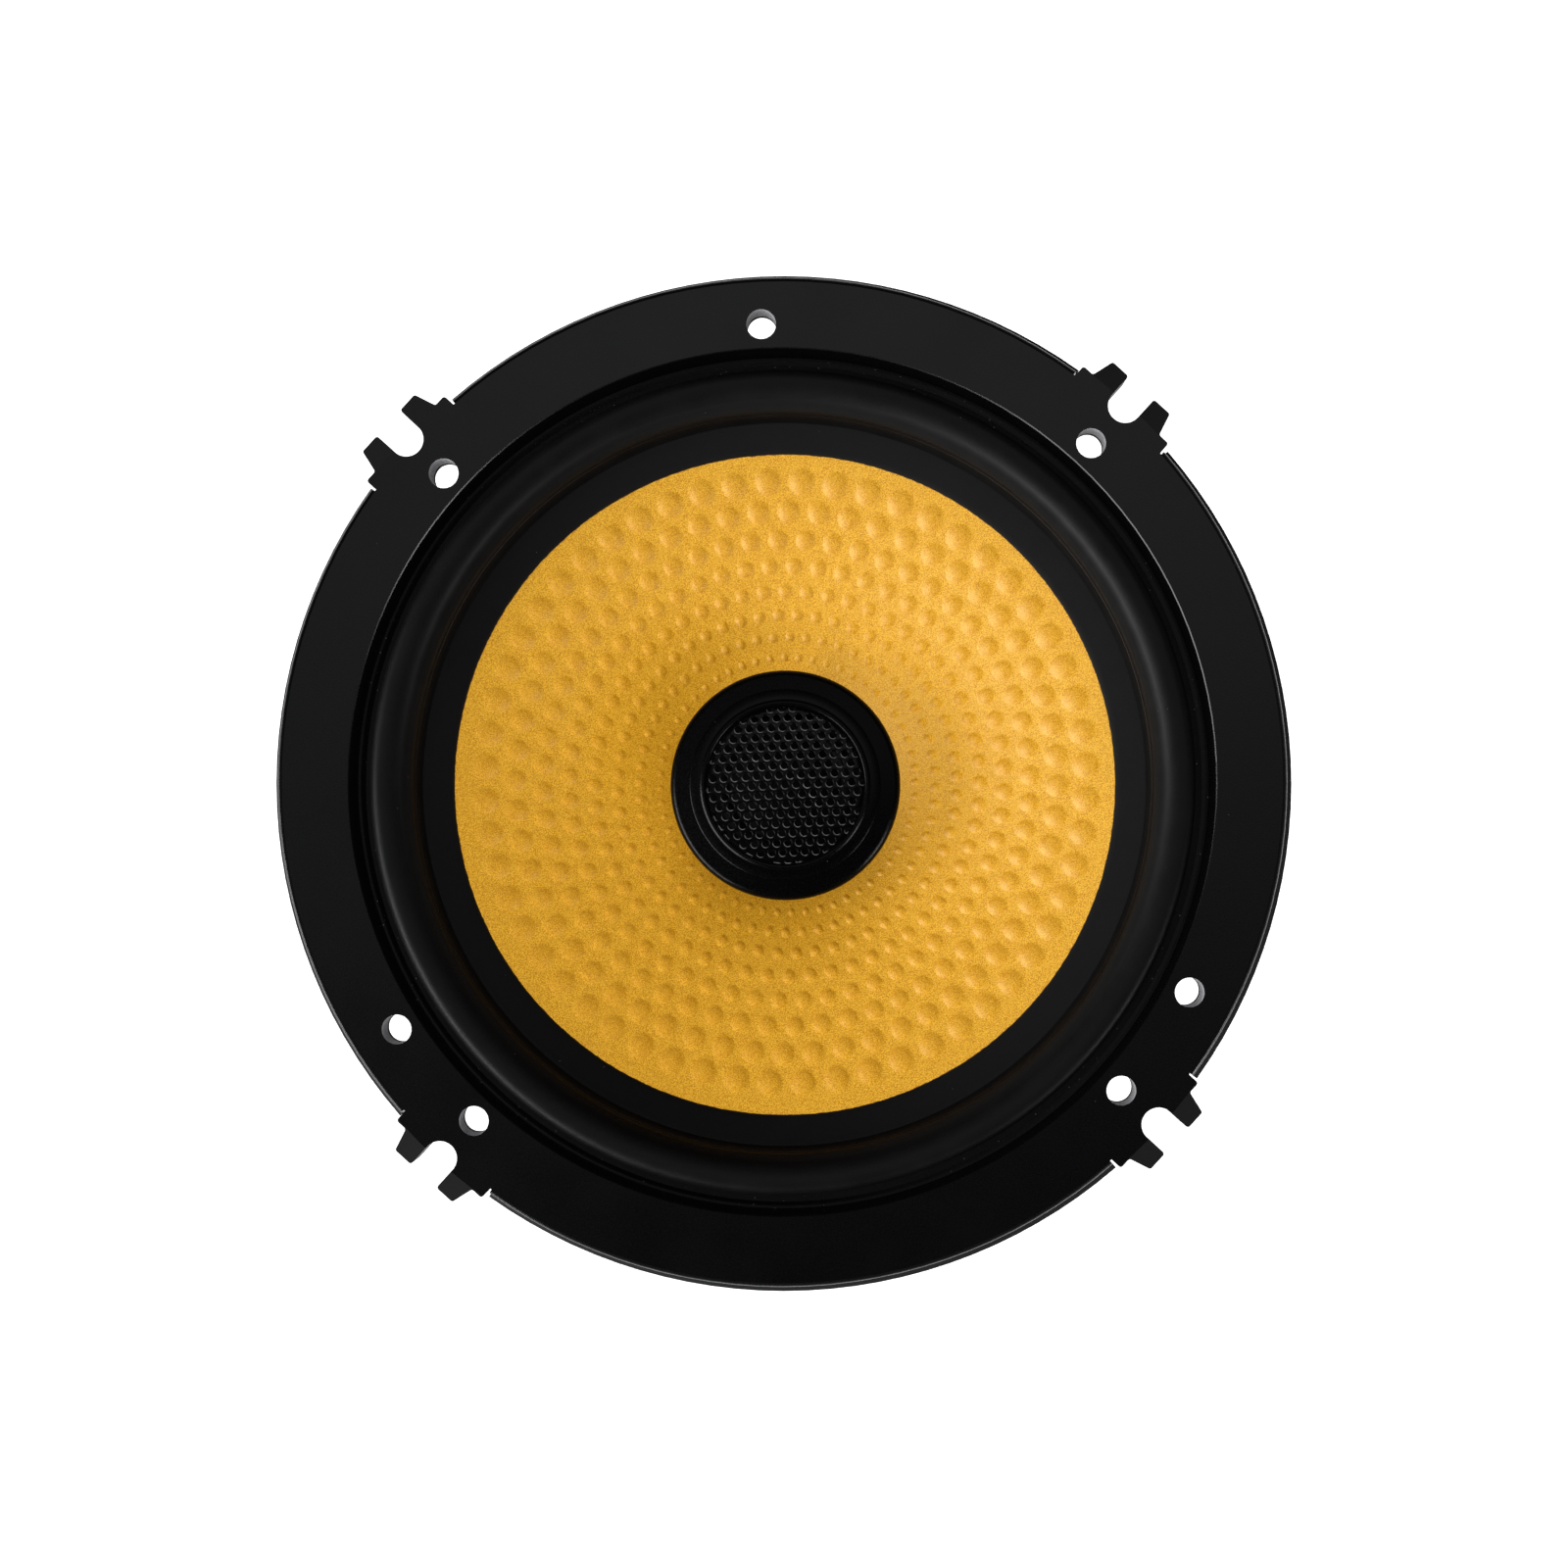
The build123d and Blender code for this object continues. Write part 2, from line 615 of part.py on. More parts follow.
# Rubber boot, with a channel inside for the tweeter's wires and a ridge over it
with BuildPart() as magnet_boot:
    with BuildSketch(Plane.XZ):
        Polygon(
            (BOOT_HOLE_R, YOKE_BACK_Z),
            (BOOT_HOLE_R, BOOT_BACK_Z),
            (BOOT_R - BOOT_EDGE, BOOT_BACK_Z),
            (BOOT_R, BOOT_BACK_Z + BOOT_EDGE),
            (BOOT_R, BOOT_TOP_Z),
            (MAGNET_R + RUNNING_GAP, BOOT_TOP_Z),
            (MAGNET_R + RUNNING_GAP, YOKE_BACK_Z),
            align=None,
        )
    revolve(axis=Axis.Z)
    with BuildSketch(Plane.XY.offset(BOOT_BACK_Z)):
        with Locations((0, (RIDGE_IN_Y + RIDGE_OUT_Y) / 2)):
            Rectangle(RIDGE_WIDTH, RIDGE_IN_Y - RIDGE_OUT_Y)
    extrude(amount=BOOT_TOP_Z - BOOT_BACK_Z)
    fillet(magnet_boot.edges().filter_by(Axis.Z).sort_by(Axis.Y)[:2], radius=RIDGE_EDGE_R)
    with BuildSketch(Plane.XY.offset(YOKE_BACK_Z - CHANNEL_DEPTH)):
        with Locations((0, (CHANNEL_START_Y + CHANNEL_END_Y) / 2)):
            Rectangle(CHANNEL_WIDTH, CHANNEL_START_Y - CHANNEL_END_Y)
    extrude(amount=CHANNEL_DEPTH, mode=Mode.SUBTRACT)
    with BuildSketch(Plane.XY.offset(YOKE_BACK_Z - CHANNEL_DEPTH)):
        with Locations((0, (-MAGNET_R + CHANNEL_END_Y) / 2)):
            Rectangle(CHANNEL_WIDTH, -MAGNET_R - CHANNEL_END_Y)
    extrude(amount=BOOT_TOP_Z - YOKE_BACK_Z + CHANNEL_DEPTH, mode=Mode.SUBTRACT)
magnet_boot.part.label = "magnet_boot"
export_step(magnet_boot.part, "parts/magnet_boot.step")

# ---------------------------------------------------------------- tweeter post

with BuildPart() as tweeter_post:
    with BuildSketch(Plane.XZ):
        Polygon(
            (POST_BORE_R, POST_BACK_Z),
            (POST_THREAD_R, POST_BACK_Z),
            (POST_THREAD_R, BASE_Z),
            (POST_FOOT_R, BASE_Z),
            (POST_FOOT_R, BASE_Z + POST_FOOT_H),
            (POST_WAIST_R, BASE_Z + POST_FOOT_H + POST_FLARE_H),
            (POST_WAIST_R, HOUSING_FLOOR_Z - POST_HEAD_H - POST_FLARE_H),
            (POST_HEAD_R, HOUSING_FLOOR_Z - POST_HEAD_H),
            (POST_HEAD_R, HOUSING_FLOOR_Z),
            (POST_NECK_R, HOUSING_FLOOR_Z),
            (POST_NECK_R, HOUSING_FLOOR_Z + POST_NECK_H),
            (POST_BORE_R, HOUSING_FLOOR_Z + POST_NECK_H),
            align=None,
        )
    revolve(axis=Axis.Z)
tweeter_post.part.label = "tweeter_post"
export_step(tweeter_post.part, "parts/tweeter_post.step")

with BuildPart() as tweeter_post_washer:
    with BuildSketch(Plane.XY.offset(YOKE_BACK_Z + NUT_RECESS_H - WASHER_H)):
        Circle(WASHER_R)
        Circle(POST_THREAD_R + RUNNING_GAP, mode=Mode.SUBTRACT)
    extrude(amount=WASHER_H)
tweeter_post_washer.part.label = "tweeter_post_washer"
export_step(tweeter_post_washer.part, "parts/tweeter_post_washer.step")

with BuildPart() as tweeter_post_nut:
    with BuildSketch(Plane.XY.offset(NUT_BACK_Z)):
        RegularPolygon(radius=NUT_FLAT_R, side_count=6, major_radius=False)
        Circle(POST_THREAD_R + RUNNING_GAP, mode=Mode.SUBTRACT)
    extrude(amount=YOKE_BACK_Z + NUT_RECESS_H - WASHER_H - NUT_BACK_Z)
tweeter_post_nut.part.label = "tweeter_post_nut"
export_step(tweeter_post_nut.part, "parts/tweeter_post_nut.step")

with BuildPart() as tweeter_housing_nut:
    with BuildSketch(Plane.XY.offset(HOUSING_FLOOR_Z + HOUSING_FLOOR_H)):
        RegularPolygon(radius=HOUSING_NUT_FLAT_R, side_count=6, major_radius=False)
        Circle(POST_NECK_R + RUNNING_GAP, mode=Mode.SUBTRACT)
    extrude(amount=HOUSING_NUT_H)
tweeter_housing_nut.part.label = "tweeter_housing_nut"
export_step(tweeter_housing_nut.part, "parts/tweeter_housing_nut.step")

# ---------------------------------------------------------------- tweeter

with BuildPart() as tweeter_housing:
    with BuildSketch(Plane.XZ):
        with BuildLine():
            seat_r = BEZEL_R + GLUE_GAP
            bore_r = POST_NECK_R + GLUE_GAP
            foot = (HOUSING_FOOT_R, HOUSING_FLOOR_Z)
            ThreePointArc(HOUSING_SHOULDER, HOUSING_BULGE, HOUSING_WAIST)
            ThreePointArc(HOUSING_WAIST, HOUSING_FLANK, foot)
            Polyline(
                foot,
                (bore_r, HOUSING_FLOOR_Z),
                (bore_r, HOUSING_FLOOR_Z + HOUSING_FLOOR_H),
                (HOUSING_NUT_WELL_R, HOUSING_FLOOR_Z + HOUSING_FLOOR_H),
                (HOUSING_NUT_WELL_R, CUP_FLOOR_Z),
                (HOUSING_WELL_FOOT_R, CUP_FLOOR_Z),
                (HOUSING_WELL_TOP_R, BEZEL_SEAT_Z - RUNNING_GAP),
                (seat_r, BEZEL_SEAT_Z - RUNNING_GAP),
                (seat_r, HOUSING_RIM_Z),
                HOUSING_SHOULDER,
            )
        make_face()
    revolve(axis=Axis.Z)
tweeter_housing.part.label = "tweeter_housing"
export_step(tweeter_housing.part, "parts/tweeter_housing.step")

with BuildPart() as tweeter_bezel:
    with BuildSketch(Plane.XZ):
        with BuildLine():
            grille_seat_r = GRILLE_R + GLUE_GAP
            lip_in = (grille_seat_r, BEZEL_LIP_IN_Z)
            Polyline(
                BEZEL_LIP_OUT,
                (BEZEL_R, BEZEL_TOP_Z),
                (BEZEL_R, BEZEL_SEAT_Z),
                (BEZEL_STEP_R, BEZEL_SEAT_Z),
                (BEZEL_STEP_R, BEZEL_STEP_Z),
                (grille_seat_r, BEZEL_STEP_Z),
                lip_in,
            )
            ThreePointArc(lip_in, BEZEL_LIP_TOP, BEZEL_LIP_OUT)
        make_face()
    revolve(axis=Axis.Z)
tweeter_bezel.part.label = "tweeter_bezel"
export_step(tweeter_bezel.part, "parts/tweeter_bezel.step")

# The grille: a low dome of perforated steel with a turned-down edge
with BuildPart() as tweeter_grille:
    with BuildSketch(Plane.XZ):
        with BuildLine():
            crown = ThreePointArc((0, GRILLE_TOP_Z), GRILLE_CROWN, GRILLE_SHOULDER)
            turn = ThreePointArc(crown @ 1, GRILLE_BEND, (GRILLE_R, GRILLE_SKIRT_TOP_Z))
            under = ThreePointArc(
                (0, GRILLE_TOP_Z - GRILLE_WALL),
                (GRILLE_CROWN[0], GRILLE_CROWN[1] - GRILLE_WALL),
                (GRILLE_SHOULDER[0], GRILLE_SHOULDER[1] - GRILLE_WALL),
            )
            Polyline(
                turn @ 1,
                (GRILLE_R, GRILLE_SKIRT_Z),
                (GRILLE_R - GRILLE_WALL, GRILLE_SKIRT_Z),
                (GRILLE_R - GRILLE_WALL, GRILLE_SKIRT_TOP_Z),
                under @ 1,
            )
            Line(crown @ 0, under @ 0)
        make_face()
    revolve(axis=Axis.Z)
    row_step = GRILLE_PITCH * sqrt(3) / 2
    hole_places = []
    for row in GRILLE_HOLE_ROWS:
        for column in GRILLE_HOLE_COLUMNS:
            place = ((column + (row % 2) / 2) * GRILLE_PITCH, row * row_step)
            if hypot(*place) < GRILLE_HOLES_WITHIN_R:
                hole_places.append(place)
    with BuildSketch(Plane.XY.offset(GRILLE_SKIRT_Z)):
        with Locations(*hole_places):
            Circle(GRILLE_HOLE_R)
    extrude(amount=GRILLE_TOP_Z + GRILLE_WALL - GRILLE_SKIRT_Z, mode=Mode.SUBTRACT)
tweeter_grille.part.label = "tweeter_grille"
export_step(tweeter_grille.part, "parts/tweeter_grille.step")

with BuildPart() as tweeter_dome:
    with BuildSketch(Plane.XZ):
        with BuildLine():
            top = ThreePointArc((0, DOME_TOP_Z), DOME_MIDDLE, (DOME_R, DOME_EDGE_Z))
            under = ThreePointArc(
                (0, DOME_TOP_Z - DOME_WALL),
                (DOME_MIDDLE[0], DOME_MIDDLE[1] - DOME_WALL),
                (DOME_R - DOME_WALL / 2, DOME_EDGE_Z - DOME_WALL),
            )
            Line(top @ 0, under @ 0)
            Line(top @ 1, under @ 1)
        make_face()
    revolve(axis=Axis.Z)
tweeter_dome.part.label = "tweeter_dome"
export_step(tweeter_dome.part, "parts/tweeter_dome.step")

with BuildPart() as tweeter_voice_coil:
    with BuildSketch(Plane.XZ):
        section = ring_points(DOME_COIL_IN_R, DOME_COIL_OUT_R, DOME_COIL_BACK_Z, DOME_COIL_TOP_Z)
        Polygon(*section, align=None)
    revolve(axis=Axis.Z)
tweeter_voice_coil.part.label = "tweeter_voice_coil"
export_step(tweeter_voice_coil.part, "parts/tweeter_voice_coil.step")

with BuildPart() as tweeter_diaphragm_ring:
    with BuildSketch(Plane.XZ):
        Polygon(*ring_points(RING_IN_R, RING_OUT_R, CUP_TOP_Z, RING_TOP_Z), align=None)
    revolve(axis=Axis.Z)
tweeter_diaphragm_ring.part.label = "tweeter_diaphragm_ring"
export_step(tweeter_diaphragm_ring.part, "parts/tweeter_diaphragm_ring.step")

with BuildPart() as tweeter_dome_surround:
    with BuildSketch(Plane.XZ):
        with BuildLine():
            roll_in_r = DOME_R + DOME_ROLL_GAP
            middle_r = (roll_in_r + DOME_ROLL_OUT_R) / 2
            low_z = DOME_FOOT_Z - DOME_ROLL_WALL
            top = ThreePointArc(
                (roll_in_r, DOME_FOOT_Z),
                (middle_r, DOME_FOOT_Z + DOME_ROLL_RISE),
                (DOME_ROLL_OUT_R, DOME_FOOT_Z),
            )
            under = ThreePointArc(
                (roll_in_r + DOME_ROLL_WALL, low_z),
                (middle_r, low_z + DOME_ROLL_RISE),
                (DOME_ROLL_OUT_R - DOME_ROLL_WALL, low_z),
            )
            Line(top @ 0, under @ 0)
            Polyline(top @ 1, (DOME_RIM_R, DOME_FOOT_Z), (DOME_RIM_R, low_z), under @ 1)
        make_face()
    revolve(axis=Axis.Z)
tweeter_dome_surround.part.label = "tweeter_dome_surround"
export_step(tweeter_dome_surround.part, "parts/tweeter_dome_surround.step")

with BuildPart() as tweeter_cup:
    with BuildSketch(Plane.XZ):
        Polygon(
            (0, CUP_FLOOR_Z),
            (CUP_R, CUP_FLOOR_Z),
            (CUP_R, CUP_TOP_Z),
            (CUP_IN_R, CUP_TOP_Z),
            (CUP_IN_R, CUP_FLOOR_Z + CUP_FLOOR_H),
            (0, CUP_FLOOR_Z + CUP_FLOOR_H),
            align=None,
        )
    revolve(axis=Axis.Z)
tweeter_cup.part.label = "tweeter_cup"
export_step(tweeter_cup.part, "parts/tweeter_cup.step")

with BuildPart() as tweeter_magnet:
    with BuildSketch(Plane.XY.offset(CUP_FLOOR_Z + CUP_FLOOR_H)):
        Circle(TWEETER_MAGNET_R)
    extrude(amount=TWEETER_MAGNET_H)
tweeter_magnet.part.label = "tweeter_magnet"
export_step(tweeter_magnet.part, "parts/tweeter_magnet.step")

with BuildPart() as tweeter_pole_plate:
    with BuildSketch(Plane.XY.offset(CUP_FLOOR_Z + CUP_FLOOR_H + TWEETER_MAGNET_H)):
        Circle(POLE_PLATE_R)
    extrude(amount=POLE_PLATE_H)
tweeter_pole_plate.part.label = "tweeter_pole_plate"
export_step(tweeter_pole_plate.part, "parts/tweeter_pole_plate.step")

# ---------------------------------------------------------------- terminals and crossover

with BuildPart() as terminal_board:
    with BuildSketch(Plane.XY.offset(BOARD_BACK_Z)):
        with Locations((0, (BOARD_IN_Y + BOARD_OUT_Y) / 2)):
            RectangleRounded(2 * BOARD_HALF_WIDTH, BOARD_IN_Y - BOARD_OUT_Y, BOARD_CORNER_R)
        with Locations((-BOARD_SCREW_X, BOARD_SCREW_Y), (BOARD_SCREW_X, BOARD_SCREW_Y)):
            Circle(BOARD_SCREW_R + RUNNING_GAP, mode=Mode.SUBTRACT)
        with Locations((-TERMINAL_X, TERMINAL_RIVET_Y), (TERMINAL_X, TERMINAL_RIVET_Y)):
            Circle(BOARD_RIVET_R + RUNNING_GAP, mode=Mode.SUBTRACT)
    extrude(amount=BOARD_H)
terminal_board.part.label = "terminal_board"
export_step(terminal_board.part, "parts/terminal_board.step")

with BuildPart() as terminal_board_screws:
    with BuildSketch(Plane.XY.offset(BOARD_BACK_Z)):
        with Locations((-BOARD_SCREW_X, BOARD_SCREW_Y), (BOARD_SCREW_X, BOARD_SCREW_Y)):
            Circle(BOARD_SCREW_R)
    extrude(amount=BOARD_SCREW_LENGTH)
    with BuildSketch(Plane.XY.offset(BOARD_BACK_Z)):
        with Locations((-BOARD_SCREW_X, BOARD_SCREW_Y), (BOARD_SCREW_X, BOARD_SCREW_Y)):
            Circle(BOARD_SCREW_HEAD_R)
    extrude(amount=-BOARD_SCREW_HEAD_H)
terminal_board_screws.part.label = "terminal_board_screws"
export_step(terminal_board_screws.part, "parts/terminal_board_screws.step")

# Push-on tabs: the positive one is 6.3 mm wide and the negative one 4.8 mm
with BuildPart() as terminal_positive:
    with BuildSketch(Plane.XY.offset(BOARD_TOP_Z)) as tab:
        with Locations((TERMINAL_X, (TERMINAL_TIP_Y + TERMINAL_ROOT_Y) / 2)):
            Rectangle(POSITIVE_WIDTH, TERMINAL_ROOT_Y - TERMINAL_TIP_Y)
        chamfer(tab.vertices().group_by(Axis.Y)[0], length=POSITIVE_CHAMFER)
        with Locations((TERMINAL_X, TERMINAL_RIVET_Y)):
            Circle(BOARD_RIVET_R + RUNNING_GAP, mode=Mode.SUBTRACT)
        with Locations((TERMINAL_X, TERMINAL_DIMPLE_Y)):
            Circle(POSITIVE_DIMPLE_R, mode=Mode.SUBTRACT)
    extrude(amount=TERMINAL_H)
terminal_positive.part.label = "terminal_positive"
export_step(terminal_positive.part, "parts/terminal_positive.step")

with BuildPart() as terminal_negative:
    with BuildSketch(Plane.XY.offset(BOARD_TOP_Z)) as tab:
        with Locations((-TERMINAL_X, (TERMINAL_TIP_Y + TERMINAL_ROOT_Y) / 2)):
            Rectangle(NEGATIVE_WIDTH, TERMINAL_ROOT_Y - TERMINAL_TIP_Y)
        chamfer(tab.vertices().group_by(Axis.Y)[0], length=NEGATIVE_CHAMFER)
        with Locations((-TERMINAL_X, TERMINAL_RIVET_Y)):
            Circle(BOARD_RIVET_R + RUNNING_GAP, mode=Mode.SUBTRACT)
        with Locations((-TERMINAL_X, TERMINAL_DIMPLE_Y)):
            Circle(NEGATIVE_DIMPLE_R, mode=Mode.SUBTRACT)
    extrude(amount=TERMINAL_H)
terminal_negative.part.label = "terminal_negative"
export_step(terminal_negative.part, "parts/terminal_negative.step")

with BuildPart() as terminal_rivets:
    rivet_places = [(-TERMINAL_X, TERMINAL_RIVET_Y), (TERMINAL_X, TERMINAL_RIVET_Y)]
    with BuildSketch(Plane.XY.offset(BOARD_BACK_Z)):
        with Locations(*rivet_places):
            Circle(BOARD_RIVET_R)
    extrude(amount=BOARD_H + TERMINAL_H)
    heads = ((BOARD_BACK_Z, -BOARD_RIVET_BACK_H), (BOARD_TOP_Z + TERMINAL_H, BOARD_RIVET_TOP_H))
    for head_z, head_h in heads:
        with BuildSketch(Plane.XY.offset(head_z)):
            with Locations(*rivet_places):
                Circle(BOARD_RIVET_HEAD_R)
        extrude(amount=head_h)
terminal_rivets.part.label = "terminal_rivets"
export_step(terminal_rivets.part, "parts/terminal_rivets.step")

with BuildPart() as crossover_capacitor:
    with BuildSketch(Plane.YZ.offset(-CAPACITOR_HALF_LENGTH)):
        with Locations((CAPACITOR_Y, CAPACITOR_Z)):
            Circle(CAPACITOR_R)
    extrude(amount=2 * CAPACITOR_HALF_LENGTH)
    fillet(crossover_capacitor.edges().filter_by(GeomType.CIRCLE), radius=CAPACITOR_EDGE_R)
crossover_capacitor.part.label = "crossover_capacitor"
export_step(crossover_capacitor.part, "parts/crossover_capacitor.step")

with BuildPart() as capacitor_leads:
    for side in (-1, 1):
        start = (side * CAPACITOR_HALF_LENGTH, CAPACITOR_Y, CAPACITOR_Z)
        with BuildLine() as lead_line:
            FilletPolyline(
                start,
                (side * (CAPACITOR_HALF_LENGTH + LEAD_REACH), CAPACITOR_Y, CAPACITOR_Z),
                (side * (CAPACITOR_HALF_LENGTH + LEAD_REACH), CAPACITOR_Y, BOARD_BACK_Z),
                radius=LEAD_BEND_R,
            )
        with BuildSketch(Plane(origin=start, z_dir=(side, 0, 0))):
            Circle(LEAD_R)
        sweep(path=lead_line.wires()[0])
capacitor_leads.part.label = "capacitor_leads"
export_step(capacitor_leads.part, "parts/capacitor_leads.step")

# ---------------------------------------------------------------- wires held by the speaker

# Two insulated wires: down the post, along the back plate, up the magnet's side, to the board
with BuildPart() as tweeter_wires:
    for side in (-1, 1):
        x = side * TWEETER_WIRE_X
        board_x = side * WIRE_BOARD_X
        with BuildLine() as wire_line:
            FilletPolyline(
                (x, 0, WIRE_START_Z),
                (x, 0, WIRE_CHANNEL_Z),
                (x, WIRE_CHANNEL_Y, WIRE_CHANNEL_Z),
                (x, WIRE_CHANNEL_Y, WIRE_TOP_Z),
                (board_x, WIRE_BOARD_Y, BOARD_BACK_Z - WIRE_BOARD_RISE),
                (board_x, WIRE_BOARD_Y, BOARD_BACK_Z),
                radius=2 * [TWEETER_WIRE_BEND_R] + 2 * [TWEETER_WIRE_LOOSE_BEND_R],
            )
        with BuildSketch(Plane(origin=(x, 0, WIRE_START_Z), z_dir=(0, 0, -1))):
            Circle(TWEETER_WIRE_R)
        sweep(path=wire_line.wires()[0])
tweeter_wires.part.label = "tweeter_wires"
export_step(tweeter_wires.part, "parts/tweeter_wires.step")


def tinsel_points(side):
    """Where a tinsel lead runs: up off its terminal, in through a window, and up to the cone's back."""
    _, cone_back_z = cone_point(hypot(TINSEL_END_X, TINSEL_END_Y), -CONE_WALL)
    arch_x, arch_y, arch_z = TINSEL_ARCH
    dip_x, dip_y, dip_z = TINSEL_DIP
    return [
        (side * TERMINAL_X, TINSEL_ROOT_Y, BOARD_TOP_Z + TERMINAL_H),
        (side * TERMINAL_X, TINSEL_ROOT_Y, TINSEL_RISE_Z),
        (side * arch_x, arch_y, arch_z),
        (side * dip_x, dip_y, dip_z),
        (side * TINSEL_END_X, TINSEL_END_Y, cone_back_z - 2 * TINSEL_R),
    ]


with BuildPart() as tinsel_lead_positive:
    with BuildLine() as lead_line:
        FilletPolyline(*tinsel_points(1), radius=TINSEL_RADII)
    with BuildSketch(Plane(origin=tinsel_points(1)[0], z_dir=(0, 0, 1))):
        Circle(TINSEL_R)
    sweep(path=lead_line.wires()[0])
tinsel_lead_positive.part.label = "tinsel_lead_positive"
export_step(tinsel_lead_positive.part, "parts/tinsel_lead_positive.step")

with BuildPart() as tinsel_lead_negative:
    with BuildLine() as lead_line:
        FilletPolyline(*tinsel_points(-1), radius=TINSEL_RADII)
    with BuildSketch(Plane(origin=tinsel_points(-1)[0], z_dir=(0, 0, 1))):
        Circle(TINSEL_R)
    sweep(path=lead_line.wires()[0])
tinsel_lead_negative.part.label = "tinsel_lead_negative"
export_step(tinsel_lead_negative.part, "parts/tinsel_lead_negative.step")
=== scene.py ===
"""Looks of the 165 mm coaxial car speaker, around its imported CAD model. Metres, +Z towards the listener."""

import json
from functools import cache
from math import atan2, cos, degrees, hypot, pi, radians, sin, sqrt

import bmesh
import bpy
import numpy as np
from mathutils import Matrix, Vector

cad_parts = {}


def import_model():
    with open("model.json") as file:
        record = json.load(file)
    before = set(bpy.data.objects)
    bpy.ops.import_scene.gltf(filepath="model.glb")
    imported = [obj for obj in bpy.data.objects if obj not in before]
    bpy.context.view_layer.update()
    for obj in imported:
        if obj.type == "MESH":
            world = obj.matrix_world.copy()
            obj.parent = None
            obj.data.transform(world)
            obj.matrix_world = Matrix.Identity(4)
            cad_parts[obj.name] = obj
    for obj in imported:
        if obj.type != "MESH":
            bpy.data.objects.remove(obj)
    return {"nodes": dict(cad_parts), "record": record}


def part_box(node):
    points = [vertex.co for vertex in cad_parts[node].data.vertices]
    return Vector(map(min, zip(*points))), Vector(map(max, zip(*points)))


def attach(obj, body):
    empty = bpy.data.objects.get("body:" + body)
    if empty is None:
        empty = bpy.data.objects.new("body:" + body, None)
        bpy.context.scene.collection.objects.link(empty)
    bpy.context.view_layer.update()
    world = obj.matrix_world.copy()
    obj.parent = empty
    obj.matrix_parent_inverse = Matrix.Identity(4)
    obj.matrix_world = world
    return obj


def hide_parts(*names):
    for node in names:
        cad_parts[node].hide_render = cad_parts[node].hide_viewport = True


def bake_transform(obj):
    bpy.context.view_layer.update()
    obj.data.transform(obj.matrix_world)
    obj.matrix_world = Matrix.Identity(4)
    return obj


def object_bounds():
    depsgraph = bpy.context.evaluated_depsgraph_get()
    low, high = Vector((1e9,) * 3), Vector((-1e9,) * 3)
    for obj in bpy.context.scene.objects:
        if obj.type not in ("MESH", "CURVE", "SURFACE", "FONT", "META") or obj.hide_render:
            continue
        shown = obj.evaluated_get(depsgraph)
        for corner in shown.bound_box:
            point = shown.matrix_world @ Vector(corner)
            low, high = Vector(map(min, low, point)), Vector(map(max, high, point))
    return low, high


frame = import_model()
cad_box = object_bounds()

MM = 0.001

# ---------------------------------------------------------------- sizes shared with the CAD model

PLATE_BACK_Z = 3.0 * MM
BORE_R = 68.65 * MM
HOLE_CIRCLE_R = 72.5 * MM
HOLE_R = 2.35 * MM
RIM_EDGE_R = 80.9 * MM
EAR_SLOT_U = 80.5 * MM
EAR_SLOT_R = 2.72 * MM
LEDGE_Z = -0.6 * MM

CONE_NECK = (13.0 * MM, -24.5 * MM)
CONE_MIDDLE = (35.5 * MM, -12.6 * MM)
CONE_EDGE = (59.2 * MM, -3.4 * MM)
CONE_WALL = 0.5 * MM

SURROUND_IN_R = 54.8 * MM
ROLL_CREST_R = 64.1 * MM
ROLL_CREST_Z = 6.0 * MM
ROLL_IN_ARC_R = 4.6 * MM
ROLL_OUT_ARC_R = 1.9 * MM
ROLL_IN_R = ROLL_CREST_R - ROLL_IN_ARC_R
ROLL_OUT_R = ROLL_CREST_R + ROLL_OUT_ARC_R
COLLAR_TOP_Z = 2.3 * MM
SURROUND_WALL = 0.5 * MM
GLUE_GAP = 0.1 * MM

SHELF_R = 36.8 * MM
SHELF_Z = -27.3 * MM
FORMER_R = 12.95 * MM
SPIDER_IN_R = 14.2 * MM
SPIDER_OUT_R = 32.4 * MM
SPIDER_WAVES = 9
SPIDER_WAVE_HEIGHT = 0.9 * MM
SPIDER_WALL = 0.5 * MM
SPIDER_COLLAR_HEIGHT = 1.6 * MM

GRILLE_R = 13.15 * MM
GRILLE_PITCH = 1.85 * MM
GRILLE_HOLE_R = 0.6 * MM
DOME_R = 9.55 * MM

TERMINAL_X = 13.0 * MM
TINSEL_R = 0.6 * MM
TINSEL_END = (9.0 * MM, -23.5 * MM)


# ---------------------------------------------------------------- small geometry


def circle_through(a, b, c):
    """Centre and radius of the circle through three points of a section."""
    rows = np.array([[b[0] - a[0], b[1] - a[1]], [c[0] - a[0], c[1] - a[1]]])
    square = [p[0] ** 2 + p[1] ** 2 for p in (a, b, c)]
    centre = np.linalg.solve(rows, [(square[1] - square[0]) / 2, (square[2] - square[0]) / 2])
    return centre, hypot(a[0] - centre[0], a[1] - centre[1])


CONE_CENTRE, CONE_ARC_R = circle_through(CONE_NECK, CONE_MIDDLE, CONE_EDGE)


def cone_z(r, lift=0.0):
    """Height of the cone's front face at a radius, or of the surface that lies a lift off it."""
    return CONE_CENTRE[1] + np.sqrt((CONE_ARC_R + lift) ** 2 - (r - CONE_CENTRE[0]) ** 2)


def arc(start, middle, end, steps):
    """Points along the arc from start through middle to end, both ends included."""
    centre, radius = circle_through(start, middle, end)
    angles = [np.arctan2(p[1] - centre[1], p[0] - centre[0]) for p in (start, middle, end)]
    unrolled = np.unwrap(angles)
    return [
        (centre[0] + radius * cos(t), centre[1] + radius * sin(t))
        for t in np.linspace(unrolled[0], unrolled[2], steps + 1)
    ]


